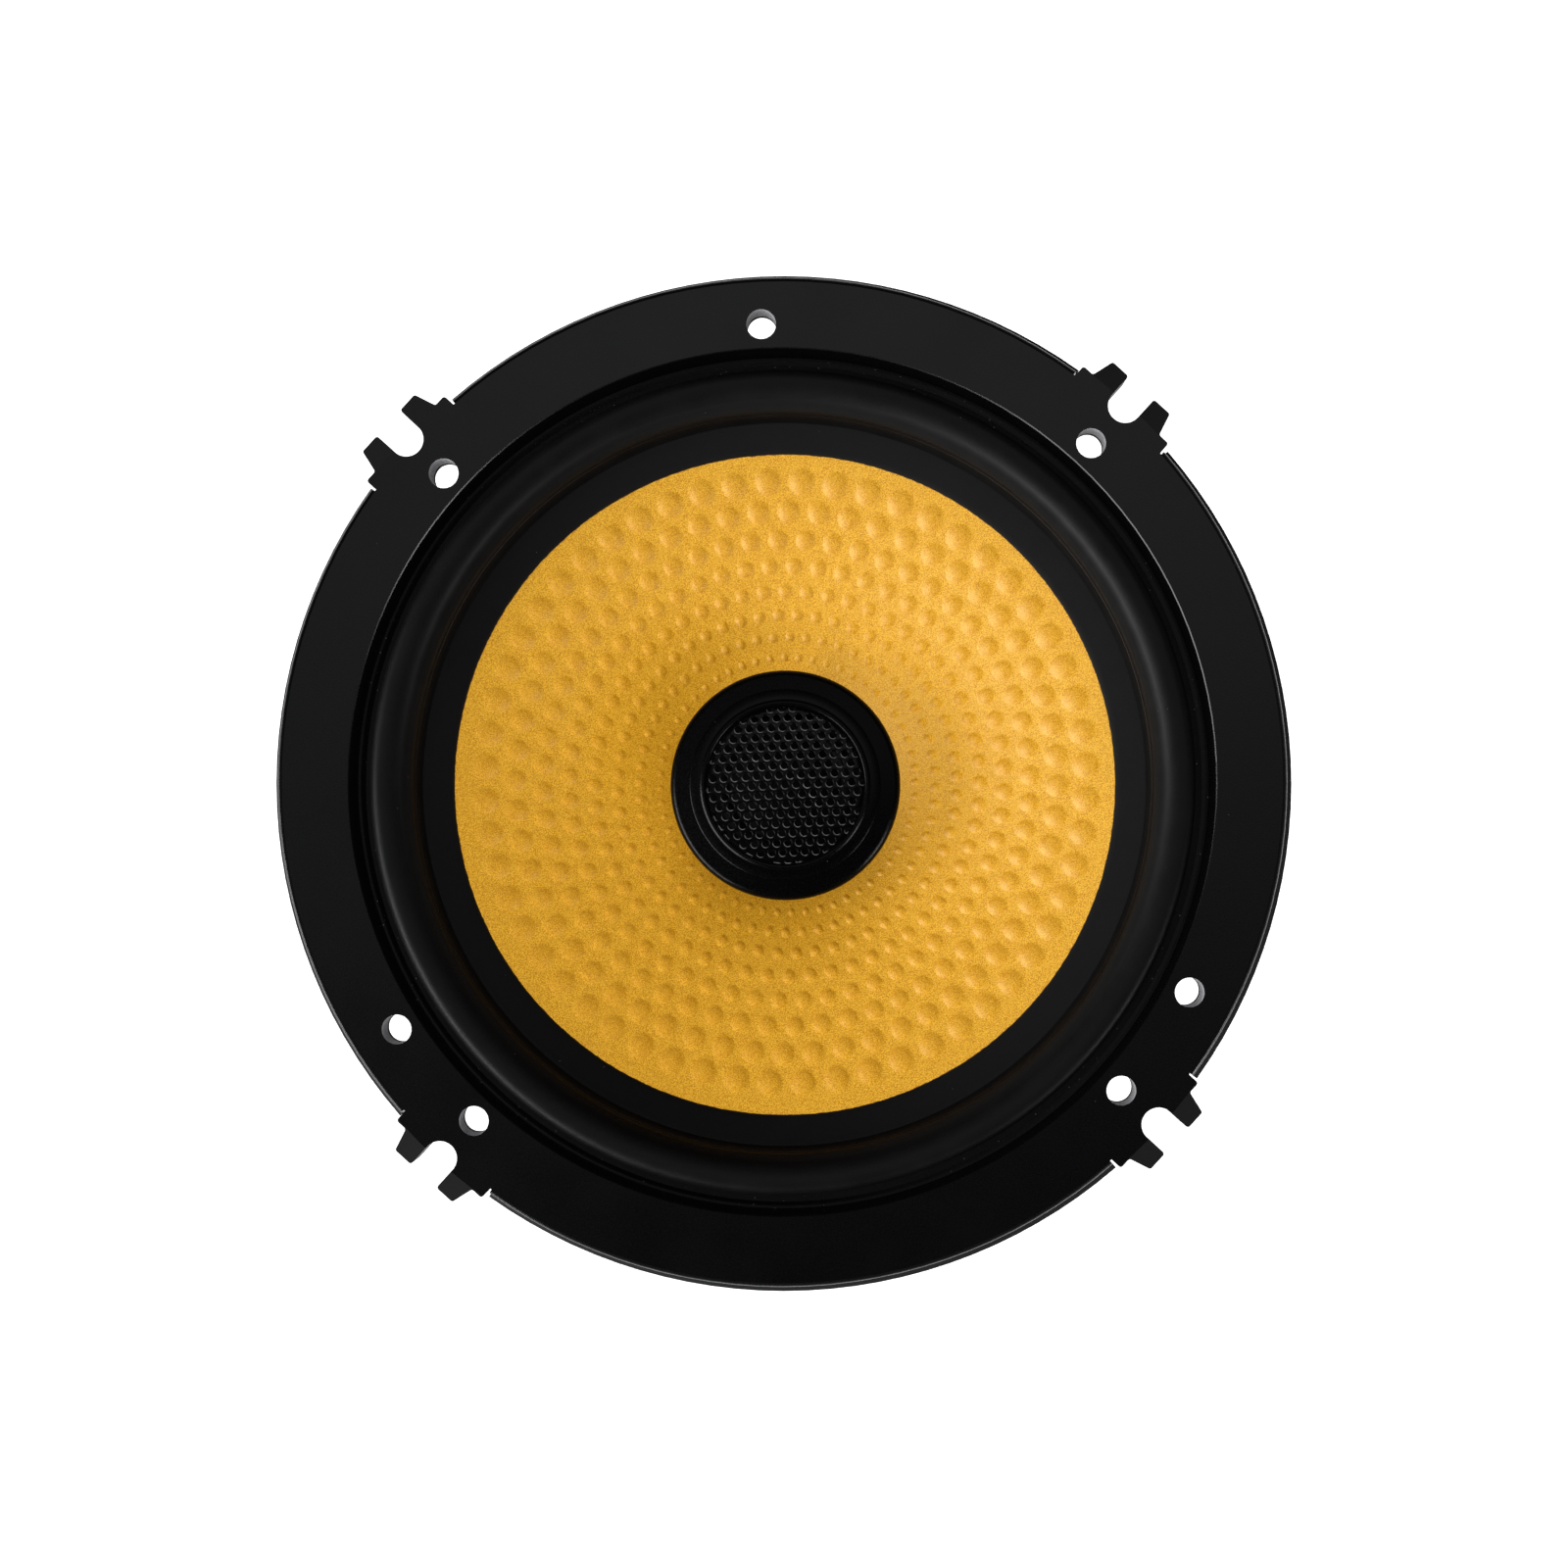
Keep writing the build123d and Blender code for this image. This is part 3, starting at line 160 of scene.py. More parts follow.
def smooth_step(value, low, high):
    """0 up to the low value, 1 from the high one, and a smooth S between them."""
    t = np.clip((value - low) / (high - low), 0, 1)
    return t * t * (3 - 2 * t)


def frame_middle(node):
    """Middle of a CAD node's box."""
    low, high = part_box(node)
    return (low + high) / 2


def mesh_piece(name, vertices, faces, material, sharp_angle=40):
    """A mesh object with smooth shading that breaks at edges sharper than an angle."""
    mesh = bpy.data.meshes.new(name)
    mesh.from_pydata(vertices, [], faces)
    mesh.validate()
    mesh.shade_smooth()
    mesh.set_sharp_from_angle(angle=radians(sharp_angle))
    piece = bpy.data.objects.new(name, mesh)
    bpy.context.scene.collection.objects.link(piece)
    mesh.materials.append(material)
    return piece


def ring_faces(around, along, closed):
    """Quads over a grid of `along` rings with `around` points each, closed along the section or not."""
    column = np.arange(around)
    following = (column + 1) % around
    faces = []
    for row in range(along if closed else along - 1):
        low, high = row * around, ((row + 1) % along) * around
        faces.append(np.stack([low + column, low + following, high + following, high + column], 1))
    return np.concatenate(faces)


def lathe(name, section, around, material):
    """A ring: its closed section of (r, z) points, in clockwise order, turned round the axis."""
    angles = np.arange(around) * 2 * pi / around
    points = np.array(section)
    vertices = np.empty((len(points), around, 3))
    vertices[:, :, 0] = points[:, :1] * np.cos(angles)
    vertices[:, :, 1] = points[:, :1] * np.sin(angles)
    vertices[:, :, 2] = points[:, 1:]
    faces = ring_faces(around, len(points), closed=True)
    return mesh_piece(name, vertices.reshape(-1, 3).tolist(), faces.tolist(), material)


def blend_by_radius(piece):
    """Bakes the piece's placement into its mesh."""
    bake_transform(piece)


# ---------------------------------------------------------------- materials


def linear(red, green, blue):
    """A colour written as 0-255 screen values, in the linear form that shaders take."""
    channels = []
    for value in (red / 255, green / 255, blue / 255):
        channels.append(value / 12.92 if value <= 0.04045 else ((value + 0.055) / 1.055) ** 2.4)
    return (*channels, 1.0)


class Surface:
    """A material under construction: one Principled shader, and short calls that add nodes before it."""

    def __init__(self, name, color, roughness, metallic=0.0, **sockets):
        self.material = bpy.data.materials.new(name)
        self.material.use_nodes = True
        self.tree = self.material.node_tree
        self.shader = self.tree.nodes["Principled BSDF"]
        self.shader.inputs["Base Color"].default_value = linear(*color)
        self.shader.inputs["Roughness"].default_value = roughness
        self.shader.inputs["Metallic"].default_value = metallic
        for socket, value in sockets.items():
            self.shader.inputs[socket.replace("_", " ")].default_value = value
        self.place = self.add("ShaderNodeTexCoord").outputs["Object"]
        self.normal = None

    def add(self, kind, inputs=None, **settings):
        """A new node with its settings made and its inputs fed."""
        node = self.tree.nodes.new(kind)
        for key, value in settings.items():
            setattr(node, key, value)
        for key, value in (inputs or {}).items():
            self.feed(node.inputs[key], value)
        return node

    def feed(self, socket, value):
        """Links a node's output to the socket, or sets the socket to a plain value."""
        if isinstance(value, bpy.types.NodeSocket):
            self.tree.links.new(value, socket)
        else:
            socket.default_value = value

    def math(self, operation, a, b=0.0):
        """A Math node of one or two numbers."""
        node = self.add("ShaderNodeMath", {0: a, 1: b}, operation=operation)
        return node.outputs[0]

    def noise(self, size, detail=2.0, roughness=0.5, stretch=None):
        """Noise whose blobs are about `size` metres across, from 0 to 1."""
        place = self.place if stretch is None else self.stretched(stretch)
        inputs = {"Vector": place, "Scale": 1 / size, "Detail": detail, "Roughness": roughness}
        return self.add("ShaderNodeTexNoise", inputs).outputs["Fac"]

    def stretched(self, factors):
        """The place on the object, scaled along each axis."""
        return self.add("ShaderNodeVectorMath", {0: self.place, 1: factors}, operation="MULTIPLY").outputs[0]

    def axes(self, vector=None):
        """The x, y and z of a vector, or of the place on the object."""
        split = self.add("ShaderNodeSeparateXYZ", {0: vector or self.place})
        return split.outputs[0], split.outputs[1], split.outputs[2]

    def radius(self):
        """Distance from the speaker's axis."""
        flat = self.stretched((1.0, 1.0, 0.0))
        return self.add("ShaderNodeVectorMath", {0: flat}, operation="LENGTH").outputs["Value"]

    def span(self, value, low, high, to_low=0.0, to_high=1.0):
        """The value carried from one range to another, and held at its ends."""
        inputs = {"Value": value, "From Min": low, "From Max": high, "To Min": to_low, "To Max": to_high}
        return self.add("ShaderNodeMapRange", inputs).outputs[0]

    def waves(self, along, pitch):
        """A sine wave along a coordinate, from -1 to 1, one wave in each pitch."""
        return self.math("SINE", self.math("MULTIPLY", along, 2 * pi / pitch))

    def weave(self, thread):
        """Plain weave, with two sets of threads at right angles, from 0 to 1."""
        x, y, _ = self.axes()
        crossed = self.math("MULTIPLY", self.waves(x, thread), self.waves(y, thread))
        return self.span(crossed, -1.0, 1.0)

    def attribute(self, name):
        """A number that the mesh keeps at its points."""
        return self.add("ShaderNodeAttribute", attribute_name=name).outputs["Fac"]

    def blend_color(self, factor, first, second):
        """The first colour at 0, the second at 1, and a mix between."""
        node = self.add("ShaderNodeMix", data_type="RGBA")
        sockets = {s.identifier: s for s in node.inputs}
        for key, value in (("Factor_Float", factor), ("A_Color", first), ("B_Color", second)):
            self.feed(sockets[key], value)
        return next(s for s in node.outputs if s.identifier == "Result_Color")

    def two_tone(self, value, low, high, dark, light):
        """A colour that goes from dark to light as the value goes from low to high."""
        return self.blend_color(self.span(value, low, high), linear(*dark), linear(*light))

    def specks(self, cell, share, size):
        """1 on dots of about `size` metres, one in a share of the cells of a grid, and 0 elsewhere."""
        dots = self.add("ShaderNodeTexVoronoi", {"Vector": self.place, "Scale": 1 / cell})
        near = self.math("LESS_THAN", dots.outputs["Distance"], size / cell / 2)
        chance = self.axes(dots.outputs["Color"])[0]
        return self.math("MULTIPLY", near, self.math("LESS_THAN", chance, share))

    def color(self, value):
        self.feed(self.shader.inputs["Base Color"], value)

    def rough(self, value):
        self.feed(self.shader.inputs["Roughness"], value)

    def metal(self, value):
        self.feed(self.shader.inputs["Metallic"], value)

    def bump(self, height, depth):
        """Raises the surface by `depth` metres where the height is 1, on top of the bumps before it."""
        inputs = {"Height": height, "Distance": depth, "Strength": 1.0}
        if self.normal is not None:
            inputs["Normal"] = self.normal
        self.normal = self.add("ShaderNodeBump", inputs).outputs[0]
        self.feed(self.shader.inputs["Normal"], self.normal)


BLACK_SPECULAR = 0.15
RUBBER_SPECULAR = 0.08
WARM_TINT = (1.0, 0.86, 0.5, 1.0)
DRILL_MARGIN = 0.1 * MM
BARE_WALL_Z = PLATE_BACK_Z + 0.75 * MM


def in_drilled_places(surface, x, y):
    """1 in the seven screw holes and the four ear slots, and 0 elsewhere."""
    across, up = surface.math("ABSOLUTE", x), surface.math("ABSOLUTE", y)
    folded = surface.add("ShaderNodeCombineXYZ", {0: across, 1: y}).outputs[0]
    quarter = surface.add("ShaderNodeCombineXYZ", {0: across, 1: up}).outputs[0]
    diagonal = HOLE_CIRCLE_R * sqrt(0.5)
    holes = [
        (quarter, (diagonal, diagonal, 0.0)),
        (folded, (0.0, HOLE_CIRCLE_R, 0.0)),
        (folded, (HOLE_CIRCLE_R * cos(radians(30)), -HOLE_CIRCLE_R * sin(radians(30)), 0.0)),
    ]
    in_hole = 0.0
    for place, centre in holes:
        away = surface.add("ShaderNodeVectorMath", {0: place, 1: centre}, operation="DISTANCE")
        near = surface.math("LESS_THAN", away.outputs["Value"], HOLE_R + DRILL_MARGIN)
        in_hole = surface.math("MAXIMUM", near, in_hole)
    beside = surface.math("ABSOLUTE", surface.math("SUBTRACT", across, up))
    along = surface.math("ADD", across, up)
    slot_start = EAR_SLOT_U - EAR_SLOT_R - 2 * DRILL_MARGIN
    between_walls = surface.math("LESS_THAN", beside, (EAR_SLOT_R + DRILL_MARGIN) * sqrt(2))
    past_start = surface.math("GREATER_THAN", along, slot_start * sqrt(2))
    return surface.math("MAXIMUM", in_hole, surface.math("MULTIPLY", between_walls, past_start))


def basket_paint():
    """Satin black over cast metal, matt on the rim's foot, in the bore and in the drilled places.

    The walls of the screw holes and the ear slots are bare metal towards the front.
    """
    surface = Surface("basket_paint", (6, 6, 7), 0.3, Specular_IOR_Level=BLACK_SPECULAR)
    x, y, z = surface.axes()
    normal = surface.add("ShaderNodeNewGeometry").outputs["Normal"]
    upright = surface.math("LESS_THAN", surface.math("ABSOLUTE", surface.axes(normal)[2]), 0.35)
    drilled = surface.math("MULTIPLY", in_drilled_places(surface, x, y), upright)
    near_front = surface.span(z, BARE_WALL_Z, BARE_WALL_Z + 0.2 * MM)
    bare = surface.math("MULTIPLY", drilled, near_front)

    grain = surface.noise(0.22 * MM, detail=3.0)
    dust = surface.specks(2.6 * MM, 0.16, 0.13 * MM)
    paint = surface.two_tone(grain, 0.35, 0.75, (2, 2, 3), (6, 6, 7))
    paint = surface.blend_color(dust, paint, linear(70, 70, 70))
    bright = surface.blend_color(surface.noise(0.5 * MM), linear(112, 112, 114), linear(160, 160, 162))
    surface.color(surface.blend_color(bare, paint, bright))
    surface.metal(surface.math("MULTIPLY", bare, 0.5))

    satin = surface.span(surface.math("ADD", grain, surface.noise(14 * MM)), 0.6, 1.4, 0.24, 0.31)
    matt_foot = surface.span(surface.radius(), RIM_EDGE_R, RIM_EDGE_R + 0.1 * MM, 0.0, 0.6)
    matt_bore = surface.span(surface.radius(), BORE_R - 0.1 * MM, BORE_R - 0.05 * MM, 0.6, 0.0)
    matt = surface.math("MAXIMUM", matt_foot, surface.math("MULTIPLY", drilled, 0.65))
    surface.rough(surface.math("ADD", satin, surface.math("MAXIMUM", matt, matt_bore)))
    surface.bump(grain, 0.012 * MM)
    surface.bump(dust, 0.05 * MM)
    return surface.material


def boot_rubber():
    """Moulded rubber with a grain and a little dust."""
    surface = Surface("boot_rubber", (26, 26, 27), 0.55)
    grain = surface.noise(0.35 * MM, detail=3.0, roughness=0.6)
    dust = surface.specks(1.5 * MM, 0.12, 0.12 * MM)
    tone = surface.two_tone(grain, 0.3, 0.7, (15, 15, 16), (26, 26, 27))
    surface.color(surface.blend_color(dust, tone, linear(95, 95, 95)))
    surface.rough(surface.span(surface.noise(6 * MM), 0.3, 0.7, 0.5, 0.6))
    surface.bump(grain, 0.03 * MM)
    surface.bump(dust, 0.06 * MM)
    return surface.material


def surround_rubber():
    """Butyl rubber, matt on its flange, at the roll's inner foot and in the dusty groove beside the bore,
    with painted shade on a band low on the roll's inner side.
    """
    surface = Surface("surround_rubber", (12, 12, 13), 0.36, Specular_IOR_Level=RUBBER_SPECULAR)
    radius = surface.radius()

    def past_foot(start, end, to_low=0.0, to_high=1.0):
        """A number that changes between two distances outside the roll's inner foot."""
        return surface.span(radius, ROLL_IN_R + start, ROLL_IN_R + end, to_low, to_high)

    grain = surface.noise(0.2 * MM, detail=3.0, roughness=0.7)
    groove = surface.span(radius, ROLL_OUT_R, ROLL_OUT_R + 1 * MM)
    groove_dust = surface.math("MULTIPLY", groove, surface.specks(0.8 * MM, 0.4, 0.16 * MM))
    dust = surface.math("MAXIMUM", surface.specks(1.4 * MM, 0.12, 0.13 * MM), groove_dust)
    # Painted shade: a darker band low on the roll's inner side.
    painted_shade = surface.math("SUBTRACT", past_foot(0.8 * MM, 1.3 * MM), past_foot(1.4 * MM, 2.1 * MM))
    tone = surface.two_tone(grain, 0.3, 0.7, (4, 4, 5), (12, 12, 13))
    tone = surface.blend_color(painted_shade, tone, linear(2, 2, 3))
    surface.color(surface.blend_color(dust, tone, linear(88, 88, 88)))

    patches = surface.span(surface.noise(5 * MM), 0.3, 0.7, 0.42, 0.5)
    matt_flange = past_foot(-0.2 * MM, -0.05 * MM, 0.25, 0.0)
    past_bead = past_foot(0.25 * MM, 0.4 * MM)
    matt_foot = surface.math("MULTIPLY", past_bead, past_foot(1.0 * MM, 1.9 * MM, 0.4, 0.0))
    matt_groove = surface.math("MULTIPLY", groove, 0.5)
    matt = surface.math("MAXIMUM", surface.math("MAXIMUM", matt_flange, matt_foot), matt_groove)
    surface.rough(surface.math("ADD", patches, matt))
    surface.bump(grain, 0.014 * MM)
    surface.bump(dust, 0.05 * MM)
    return surface.material


def cone_yellow():
    """Pressed yellow cone with a fine mottle, deeper on the bumps. Glue darkens it at the surround's edge."""
    surface = Surface("cone_yellow", (228, 164, 34), 0.55, Specular_IOR_Level=0.4, Specular_Tint=WARM_TINT)
    fibre = surface.noise(0.18 * MM, detail=1.0, roughness=0.6)
    mottle = surface.noise(1.4 * MM, detail=2.0)
    cloud = surface.noise(22 * MM)
    tone = surface.two_tone(fibre, 0.38, 0.62, (203, 132, 8), (250, 194, 54))
    tone = surface.blend_color(surface.span(mottle, 0.5, 0.85, 0.0, 0.25), tone, linear(248, 190, 56))
    tone = surface.blend_color(surface.span(cloud, 0.45, 0.8, 0.0, 0.16), tone, linear(214, 144, 24))
    on_bump = surface.span(surface.attribute("on_bump"), 0.0, 0.4, 0.0, 0.2)
    tone = surface.blend_color(on_bump, tone, linear(208, 136, 14))
    ragged = surface.span(surface.noise(0.9 * MM), 0.2, 0.8, -0.1 * MM, 0.1 * MM)
    ragged_radius = surface.math("ADD", surface.radius(), ragged)
    glue = surface.span(ragged_radius, SURROUND_IN_R - 0.08 * MM, SURROUND_IN_R)
    surface.color(surface.blend_color(glue, tone, linear(96, 62, 26)))
    surface.rough(surface.span(fibre, 0.3, 0.7, 0.5, 0.6))
    surface.bump(fibre, 0.045 * MM)
    surface.bump(mottle, 0.03 * MM)
    return surface.material


def metal(name, bright, dark, roughness, streak=None, size=0.6 * MM, depth=0.004 * MM):
    """Bare or plated metal with blotches, and streaks where a stretch is given."""
    surface = Surface(name, bright, roughness, metallic=1.0)
    blotch = surface.noise(size, detail=4.0, roughness=0.6, stretch=streak)
    surface.color(surface.two_tone(blotch, 0.3, 0.7, dark, bright))
    surface.rough(surface.span(blotch, 0.3, 0.7, roughness - 0.07, roughness + 0.09))
    surface.bump(blotch, depth)
    return surface.material


def turned_metal(name, bright, dark, roughness, pitch):
    """Metal with the fine rings that a lathe leaves."""
    surface = Surface(name, bright, roughness, metallic=1.0)
    blotch = surface.noise(2.5 * MM, detail=3.0)
    surface.color(surface.two_tone(blotch, 0.3, 0.7, dark, bright))
    surface.rough(surface.span(surface.noise(0.4 * MM), 0.3, 0.7, roughness - 0.06, roughness + 0.08))
    surface.bump(surface.waves(surface.radius(), pitch), 0.003 * MM)
    return surface.material


def moulded(name, color, dark, roughness, specular, grain_size=0.3 * MM, grain_depth=0.006 * MM):
    """Plastic or ferrite from a mould, with a fine grain and a few specks of dust."""
    surface = Surface(name, color, roughness, Specular_IOR_Level=specular)
    grain = surface.noise(grain_size, detail=3.0)
    dust = surface.specks(1.6 * MM, 0.1, 0.11 * MM)
    tone = surface.two_tone(grain, 0.3, 0.7, dark, color)
    surface.color(surface.blend_color(dust, tone, linear(105, 105, 105)))
    surface.rough(surface.span(grain, 0.3, 0.7, roughness - 0.05, roughness + 0.07))
    surface.bump(grain, grain_depth)
    return surface.material


def grille_paint():
    """Black paint on perforated steel, with a painted highlight on one side of the hole rims, taken from a
    number the mesh keeps at its points.
    """
    surface = Surface("grille_paint", (6, 6, 7), 0.18, Specular_IOR_Level=0.07)
    grain = surface.noise(0.2 * MM)
    paint = surface.two_tone(grain, 0.35, 0.7, (3, 3, 4), (6, 6, 7))
    patches = surface.span(surface.noise(0.5 * MM), 0.3, 0.6, 0.5, 1.0)
    # Painted highlight: pale grey on one side of the hole rims and along a curved streak, broken into
    # patches.
    painted_glint = surface.math("MULTIPLY", surface.attribute("painted_glint"), patches)
    surface.color(surface.blend_color(painted_glint, paint, linear(172, 172, 174)))
    surface.rough(surface.span(grain, 0.3, 0.7, 0.14, 0.24))
    surface.bump(grain, 0.005 * MM)
    return surface.material


def spider_cloth():
    """Stiffened cotton in a plain weave, with paler and darker patches."""
    surface = Surface("spider_cloth", (196, 150, 84), 0.75, Sheen_Weight=0.15)
    weave = surface.weave(0.42 * MM)
    uneven = surface.math("ADD", weave, surface.span(surface.noise(3 * MM), 0.3, 0.7, -0.3, 0.3))
    surface.color(surface.two_tone(uneven, 0.0, 1.2, (120, 84, 40), (196, 150, 84)))
    surface.bump(weave, 0.06 * MM)
    return surface.material


def copper_winding():
    """Enamelled wire wound in close turns along the axis."""
    surface = Surface("copper_winding", (196, 108, 62), 0.3, metallic=1.0)
    turns = surface.waves(surface.axes()[2], 0.28 * MM)
    surface.color(surface.two_tone(turns, -1.0, 0.4, (110, 52, 26), (196, 108, 62)))
    surface.rough(surface.span(surface.noise(1 * MM), 0.3, 0.7, 0.25, 0.38))
    surface.bump(turns, 0.05 * MM)
    return surface.material


def fibre_board():
    """Pressed brown-black board with flecks of fibre."""
    surface = Surface("fibre_board", (46, 34, 26), 0.6)
    fleck = surface.noise(0.5 * MM, detail=4.0, stretch=(1.0, 5.0, 1.0))
    surface.color(surface.two_tone(fleck, 0.35, 0.7, (30, 23, 18), (86, 62, 42)))
    surface.rough(surface.span(fleck, 0.3, 0.7, 0.52, 0.7))
    surface.bump(fleck, 0.02 * MM)
    return surface.material


def capacitor_sleeve():
    """Shrunk plastic sleeve with a pale polarity stripe along one side."""
    surface = Surface("capacitor_sleeve", (22, 40, 92), 0.28, Coat_Weight=0.3)
    stripe_z = frame_middle("crossover_capacitor")[2] + 4.2 * MM
    stripe = surface.math("GREATER_THAN", surface.axes()[2], stripe_z)
    wrinkle = surface.noise(1.2 * MM, detail=3.0, stretch=(1.0, 0.25, 0.25))
    tone = surface.two_tone(wrinkle, 0.3, 0.7, (16, 28, 70), (28, 48, 106))
    surface.color(surface.blend_color(stripe, tone, linear(170, 178, 190)))
    surface.rough(surface.span(wrinkle, 0.3, 0.7, 0.22, 0.36))
    surface.bump(wrinkle, 0.05 * MM)
    return surface.material


def gasket_foam():
    """Closed-cell gasket foam with open pores."""
    surface = Surface("gasket_foam", (34, 34, 35), 0.85, Sheen_Weight=0.2)
    pores = surface.add("ShaderNodeTexVoronoi", {"Vector": surface.place, "Scale": 1 / (0.45 * MM)})
    depth = pores.outputs["Distance"]
    surface.color(surface.two_tone(depth, 0.1, 0.6, (16, 16, 17), (48, 48, 50)))
    surface.bump(depth, 0.12 * MM)
    return surface.material


def dome_silk():
    """Coated silk, with the weave just showing through."""
    surface = Surface("dome_silk", (6, 6, 7), 0.7, Specular_IOR_Level=0.02)
    weave = surface.weave(0.25 * MM)
    surface.color(surface.blend_color(weave, linear(3, 3, 4), linear(9, 9, 10)))
    surface.rough(surface.span(surface.noise(1.5 * MM), 0.3, 0.7, 0.42, 0.58))
    surface.bump(weave, 0.01 * MM)
    return surface.material


LATHE_STREAK = (1.0, 1.0, 9.0)

MATERIALS = {
    "basket_paint": basket_paint(),
    "gasket_foam": gasket_foam(),
    "surround_rubber": surround_rubber(),
    "spider_cloth": spider_cloth(),
    "plated_steel": metal("plated_steel", (214, 216, 218), (168, 170, 174), 0.3),
    "plate_steel": turned_metal("plate_steel", (196, 190, 172), (150, 144, 128), 0.34, 0.35 * MM),
    "ferrite": moulded("ferrite", (52, 52, 54), (30, 30, 32), 0.55, 0.25, 0.5 * MM, 0.03 * MM),
    "boot_rubber": boot_rubber(),
    "post_aluminium": turned_metal("post_aluminium", (205, 206, 208), (165, 166, 170), 0.3, 0.3 * MM),
    "tweeter_plastic": moulded("tweeter_plastic", (4, 4, 5), (2, 2, 3), 0.24, 0.06),
    "grille_paint": grille_paint(),
    "dome_silk": dome_silk(),
    "neodymium": metal("neodymium", (190, 190, 192), (160, 160, 164), 0.25),
    "wire_insulation": moulded("wire_insulation", (24, 24, 25), (16, 16, 17), 0.4, 0.25, 0.6 * MM, 0.01 * MM),
    "fibre_board": fibre_board(),
    "tinned_brass": metal("tinned_brass", (222, 214, 188), (184, 172, 138), 0.28, streak=(1.0, 4.0, 1.0)),
    "capacitor_sleeve": capacitor_sleeve(),
    "tinned_copper": metal("tinned_copper", (214, 206, 198), (176, 160, 148), 0.3),
    "tinsel_braid": metal(
        "tinsel_braid", (206, 150, 96), (138, 92, 54), 0.34, size=0.25 * MM, depth=0.01 * MM
    ),
    "cone_yellow": cone_yellow(),
    "former_aluminium": metal("former_aluminium", (198, 200, 204), (164, 166, 172), 0.3, streak=LATHE_STREAK),
    "copper_winding": copper_winding(),
}


def dress_cad_nodes():
    """Every carried-over CAD node takes the procedural material of its own slot in the record."""
    for part in frame["record"]["subparts"]:
        for slot in frame["nodes"][part["node"]].material_slots:
            slot.material = MATERIALS[part["material_slot"]]


# ---------------------------------------------------------------- cone

DIMPLES_AROUND = 56
DIMPLE_RINGS = 8
DIMPLE_FIRST_R = 22.35 * MM
DIMPLE_STEP = 3.38 * MM
DIMPLE_STEP_GROWTH = 0.2 * MM
DIMPLE_START_ANGLE = -1.1
DIMPLE_TURN_PER_RING = 3.93
DIMPLE_CENTRE = (0.1 * MM, 0.45 * MM)
DIMPLE_GROWTH = 0.056
DIMPLE_VANISH_R = 12.0 * MM
DIMPLE_BASE_HEIGHT = 0.32 * MM
DIMPLE_RISE = 0.12
CONE_AROUND = DIMPLES_AROUND * 18
CONE_ROWS = 150


def dimple_height(x, y):
    """How far the pressed bumps rise off the cone. Their rings sit a little off the cone's centre."""
    r = np.hypot(x - DIMPLE_CENTRE[0], y - DIMPLE_CENTRE[1])
    angle = np.arctan2(y - DIMPLE_CENTRE[1], x - DIMPLE_CENTRE[0])
    height = np.zeros_like(r)
    pitch_angle = 2 * pi / DIMPLES_AROUND
    for ring in range(DIMPLE_RINGS):
        ring_r = DIMPLE_FIRST_R + ring * DIMPLE_STEP + ring * (ring - 1) / 2 * DIMPLE_STEP_GROWTH
        bump_r = (ring_r - DIMPLE_VANISH_R) * DIMPLE_GROWTH
        start = radians(DIMPLE_START_ANGLE + ring * DIMPLE_TURN_PER_RING)
        turned = (angle - start + pitch_angle / 2) % pitch_angle - pitch_angle / 2
        away = np.hypot(r - ring_r, turned * ring_r) / bump_r
        height += (DIMPLE_BASE_HEIGHT + bump_r * DIMPLE_RISE) * np.clip(1 - away**2.4, 0, 1)
    return height


def cone_skin():
    """The dimpled cone: a front and a back sheet with the same bumps, closed at the neck and the edge."""
    inner_r, outer_r = CONE_NECK[0], CONE_EDGE[0]
    r, angle = np.meshgrid(
        np.linspace(inner_r, outer_r, CONE_ROWS), np.arange(CONE_AROUND) * 2 * pi / CONE_AROUND, indexing="ij"
    )
    rise = dimple_height(r * np.cos(angle), r * np.sin(angle))
    tilt_r = (r - CONE_CENTRE[0]) / CONE_ARC_R
    tilt_z = (cone_z(r) - CONE_CENTRE[1]) / CONE_ARC_R
    sheets = []
    for lift in (rise, rise - CONE_WALL):
        sheet_r = r + tilt_r * lift
        sheet_z = cone_z(r) + tilt_z * lift
        sheets.append(np.stack([sheet_r * np.cos(angle), sheet_r * np.sin(angle), sheet_z], axis=2))
    sheets[1] = sheets[1][::-1]
    vertices = np.concatenate(sheets).reshape(-1, 3)
    faces = ring_faces(CONE_AROUND, 2 * CONE_ROWS, closed=True)
    piece = mesh_piece("dimpled_cone", vertices.tolist(), faces.tolist(), MATERIALS["cone_yellow"])
    on_bump = piece.data.attributes.new("on_bump", "FLOAT", "POINT")
    on_bump.data.foreach_set("value", np.concatenate([rise, rise[::-1]]).ravel() / rise.max())
    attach(piece, "cone")
    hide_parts("cone")


# ---------------------------------------------------------------- surround, spider and dome surround


ROLL_BEAD = 0.15 * MM
FLANGE_BEVEL = 0.15 * MM
COLLAR_BEVEL = 0.12 * MM


def quarter_arc(centre, radius, start, end, steps):
    """Points round part of a circle, between two angles in degrees."""
    angles = np.radians(np.linspace(start, end, steps + 1))
    return [(centre[0] + radius * cos(t), centre[1] + radius * sin(t)) for t in angles]


